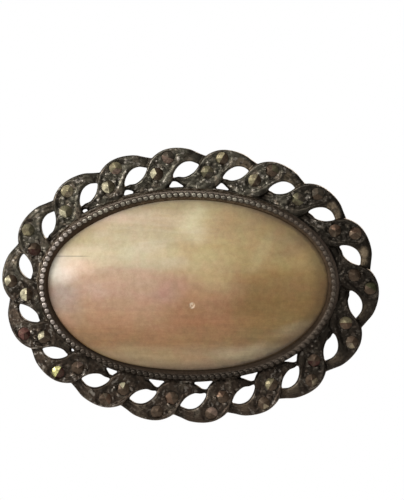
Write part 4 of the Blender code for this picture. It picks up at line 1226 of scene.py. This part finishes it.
def stone(index, centre, look):
    """Rose cut: six facets that meet in a point over a round girdle."""
    slope = (STONE_APEX - STONE_GIRDLE_LOW) / STONE_RADIUS
    vertices = [(0.0, 0.0, STONE_APEX)]
    half = math.pi / FACETS
    for facet in range(FACETS):
        for k in range(ARC_POINTS - 1):
            off = -half + 2 * half * k / (ARC_POINTS - 1)
            angle = 2 * half * facet + off
            vertices.append((STONE_RADIUS * math.cos(angle), STONE_RADIUS * math.sin(angle),
                             STONE_APEX - slope * STONE_RADIUS * math.cos(off)))
    rim = FACETS * (ARC_POINTS - 1)
    vertices += [(x * STONE_TAPER, y * STONE_TAPER, STONE_FOOT) for x, y, _ in vertices[1:]]
    faces = []
    for facet in range(FACETS):
        first = facet * (ARC_POINTS - 1)
        faces.append((0, *(1 + (first + k) % rim for k in range(ARC_POINTS))))
    faces += [(1 + i, 1 + rim + i, 1 + rim + (i + 1) % rim, 1 + (i + 1) % rim)
              for i in range(rim)]
    faces.append(tuple(range(1 + rim, 1 + 2 * rim)))
    name = f"marcasite_{index:02d}"
    obj = build_mesh(name + "_cut", vertices, faces)
    fix_normals(obj)
    tilt = Matrix.Rotation(math.radians(dice.uniform(-STONE_TILT, STONE_TILT)), 4, "X")
    lean = Matrix.Rotation(math.radians(dice.uniform(-STONE_TILT, STONE_TILT)), 4, "Y")
    glint_tint, dull, facing, glint_count = look
    first_facet = math.radians(facing) - (glint_count - 1) * half
    spin = Matrix.Rotation(first_facet, 4, "Z")
    lift = Matrix.Translation((0, 0, -STONE_PIVOT))
    obj.data.transform(Matrix.Translation((*centre, 0)) @ lift.inverted() @ tilt @ lean @ spin
                       @ lift)
    ease_edges(obj, 0.045, 15)
    points = coordinates(obj)
    points[:, 2] = np.minimum(points[:, 2], STONE_TOP - 0.003)
    set_coordinates(obj, points)
    stand_up(obj, STONES[dull], 12)
    obj.data.materials.append(STONES[glint_tint])
    middle = FLAT_TO_WORLD @ Vector((*centre, 0))
    # Facets facing the given way take the tint of the painted reflection.
    for face in obj.data.polygons:
        away = face.center - middle
        turned = (math.atan2(away.z, away.x) - first_facet + half) % (2 * math.pi)
        if turned < glint_count * 2 * half:
            face.material_index = 1
    add_piece(obj, "setting", "marcasite", name)


def stones():
    for number in range(LEAF_COUNT):
        for place in (0, 1):
            stone(1 + 2 * number + place, stone_centre(number, place), STONE_LOOKS[number][place])


# ---------------------------------------------------------------- plate, pin and catch
SOLDER_STEPS = 160
SOLDER_SECTION = ((-0.08, 0.0), (0.42, 0.0), (0.20, 0.05), (0.07, 0.14), (0.0, 0.27), (-0.08, 0.27))
SOLDER_SQUARENESS = 8                    # 2 would make the outline an oval
SOLDERS = (
    ("solder_at_joint", (-13.8, 4.0), (1.40, 1.80)),
    ("solder_at_catch", (13.3, 4.0), (1.30, 1.95)),
)
# Piece, CAD node, body, slot, material, how far its edges are eased in mm.
BACK_PIECES = (
    ("plate_soldered", "back_plate", "setting", "oxidised_silver", PLATE, 0.14),
    ("bearing_ring_inner", "bearing_ring", "setting", "oxidised_silver", PLATE, 0.05),
    ("hinge_joint_base", "joint_base", "setting", "nickel_silver", NICKEL, 0.07),
    ("hinge_rivet_headed", "hinge_rivet", "setting", "nickel_silver", NICKEL, 0.05),
    ("catch_housing", "catch_base", "setting", "nickel_silver", NICKEL, 0.04),
    ("catch_rotor_lever", "catch_rotor", "safety_catch", "nickel_silver", NICKEL, 0.06),
    ("pin_wire", "pin_stem", "pin", "steel_wire", WIRE, 0.05),
)


def refined(name, node, body, slot, material, ease):
    """The shape of a CAD node with its flat faces merged and its edges eased."""
    bm = bmesh.new()
    bm.from_mesh(frame["nodes"][node].data)
    bmesh.ops.scale(bm, vec=(1 / MM, 1 / MM, 1 / MM), verts=bm.verts)
    bmesh.ops.remove_doubles(bm, verts=bm.verts, dist=0.001)
    bmesh.ops.dissolve_limit(bm, angle_limit=math.radians(1.5), verts=bm.verts, edges=bm.edges)
    obj = put(name, mesh_from(name, bm))
    ease_edges(obj, ease, 40)
    obj.data.transform(Matrix.Scale(MM, 4))
    dress(obj, material, 35)
    add_piece(obj, body, slot, node)


def solder(name, centre, half_size):
    """A lumpy fillet of solder round a foot on the back plate."""
    power = SOLDER_SQUARENESS
    rows = []
    for k in range(SOLDER_STEPS):
        angle = 2 * math.pi * k / SOLDER_STEPS
        along = Vector((math.cos(angle), math.sin(angle)))
        reach = 1 / (abs(along.x) ** power + abs(along.y) ** power) ** (1 / power)
        edge = Vector((along.x * reach * half_size[0], along.y * reach * half_size[1]))
        outward = Vector((along.x ** (power - 1), along.y ** (power - 1))).normalized()
        rows.append([(*(edge + outward * out), high) for out, high in SOLDER_SECTION])
    points = np.array(rows).reshape(-1, 3)
    lumps = 1 + 0.35 * value_noise(points * (1, 1, 0), 0.9, len(name))
    points[:, 2] *= -np.clip(lumps, 0.6, 1.4)
    points[:, :2] += centre
    obj = build_mesh(name, points, grid_faces(SOLDER_STEPS, len(SOLDER_SECTION), True, True))
    fix_normals(obj)
    stand_up(obj, NICKEL, 60)
    add_piece(obj, "setting", "nickel_silver")


# ---------------------------------------------------------------- floor, light and camera
FLOOR_HEIGHT = -32.0
VIEW_SIZE = 59.68                        # height of the picture at the brooch, in millimetres
AIM = (1.36, 4.19)                       # middle of the picture, from the brooch's middle
DISTANCE = 420.0
SENSOR = 36.0
FLOOR_SIZE = (0.16, 0.13, 0.002)         # in metres
FLOOR_GREYS = ((0.86, 0.86, 0.85), (0.90, 0.90, 0.89))
ROOM_COLOUR = (1.0, 0.97, 0.93, 1.0)
ROOM_STRENGTH = 0.20
# Name, place in metres, size in metres, power in watts, colour. All are aimed at the brooch.
LIGHTS = (
    ("window", (-0.38, -0.15, 0.16), (0.18, 0.18), 1.6, (1.0, 0.99, 0.96)),
    ("front", (-0.06, -0.40, 0.22), (0.22, 0.16), 0.75, (1.0, 0.97, 0.94)),
    ("behind", (0.16, 0.25, 0.20), (0.20, 0.20), 1.0, (1.0, 1.0, 1.0)),
)


def floor():
    p = Painter("pale_floor")
    p.set(Base_Color=p.mix(p.ramp(p.noise(0.05, 2.0), 0.3, 0.7), *FLOOR_GREYS), Roughness=0.7)
    bm = bmesh.new()
    middle = (0, 0, FLOOR_HEIGHT * MM - FLOOR_SIZE[2] / 2)
    bmesh.ops.create_cube(bm, size=1.0, matrix=Matrix.Translation(middle)
                          @ Matrix.Diagonal((*FLOOR_SIZE, 1.0)))
    bmesh.ops.bevel(bm, geom=bm.edges[:], offset=0.0006, segments=3, affect="EDGES")
    obj = put("floor", mesh_from("floor", bm))
    obj.data.materials.append(p.material)


def area_light(name, place, size, power, colour):
    light = bpy.data.lights.new(name, "AREA")
    light.shape = "RECTANGLE"
    light.size, light.size_y = size
    light.energy = power
    light.color = colour
    obj = put(name, light)
    obj.location = place
    obj.rotation_euler = (-Vector(place)).to_track_quat("-Z", "Y").to_euler()


def world():
    """White behind the brooch, and a dimmer room for it to reflect."""
    new = bpy.data.worlds.new("studio")
    bpy.context.scene.world = new
    new.use_nodes = True
    tree = new.node_tree
    tree.nodes.clear()
    rays = tree.nodes.new("ShaderNodeLightPath")
    room = tree.nodes.new("ShaderNodeBackground")
    room.inputs["Color"].default_value = ROOM_COLOUR
    room.inputs["Strength"].default_value = ROOM_STRENGTH
    backdrop = tree.nodes.new("ShaderNodeBackground")
    backdrop.inputs["Color"].default_value = (1.0, 1.0, 1.0, 1.0)
    chooser = tree.nodes.new("ShaderNodeMixShader")
    output = tree.nodes.new("ShaderNodeOutputWorld")
    tree.links.new(rays.outputs["Is Camera Ray"], chooser.inputs[0])
    tree.links.new(room.outputs[0], chooser.inputs[1])
    tree.links.new(backdrop.outputs[0], chooser.inputs[2])
    tree.links.new(chooser.outputs[0], output.inputs["Surface"])


def camera():
    data = bpy.data.cameras.new("camera")
    data.sensor_fit = "VERTICAL"
    data.sensor_height = SENSOR
    data.lens = SENSOR * DISTANCE / VIEW_SIZE
    data.clip_start = 0.01
    obj = put("camera", data)
    obj.location = (AIM[0] * MM, -DISTANCE * MM, AIM[1] * MM)
    obj.rotation_euler = (math.pi / 2, 0, 0)
    bpy.context.scene.camera = obj


# ---------------------------------------------------------------- build everything
border()
bezel()
pearl()
stones()
for entry in SOLDERS:
    solder(*entry)
for entry in BACK_PIECES:
    refined(*entry)

bpy.context.scene.view_settings.view_transform = "Standard"
floor()
world()
camera()
for entry in LIGHTS:
    area_light(*entry)
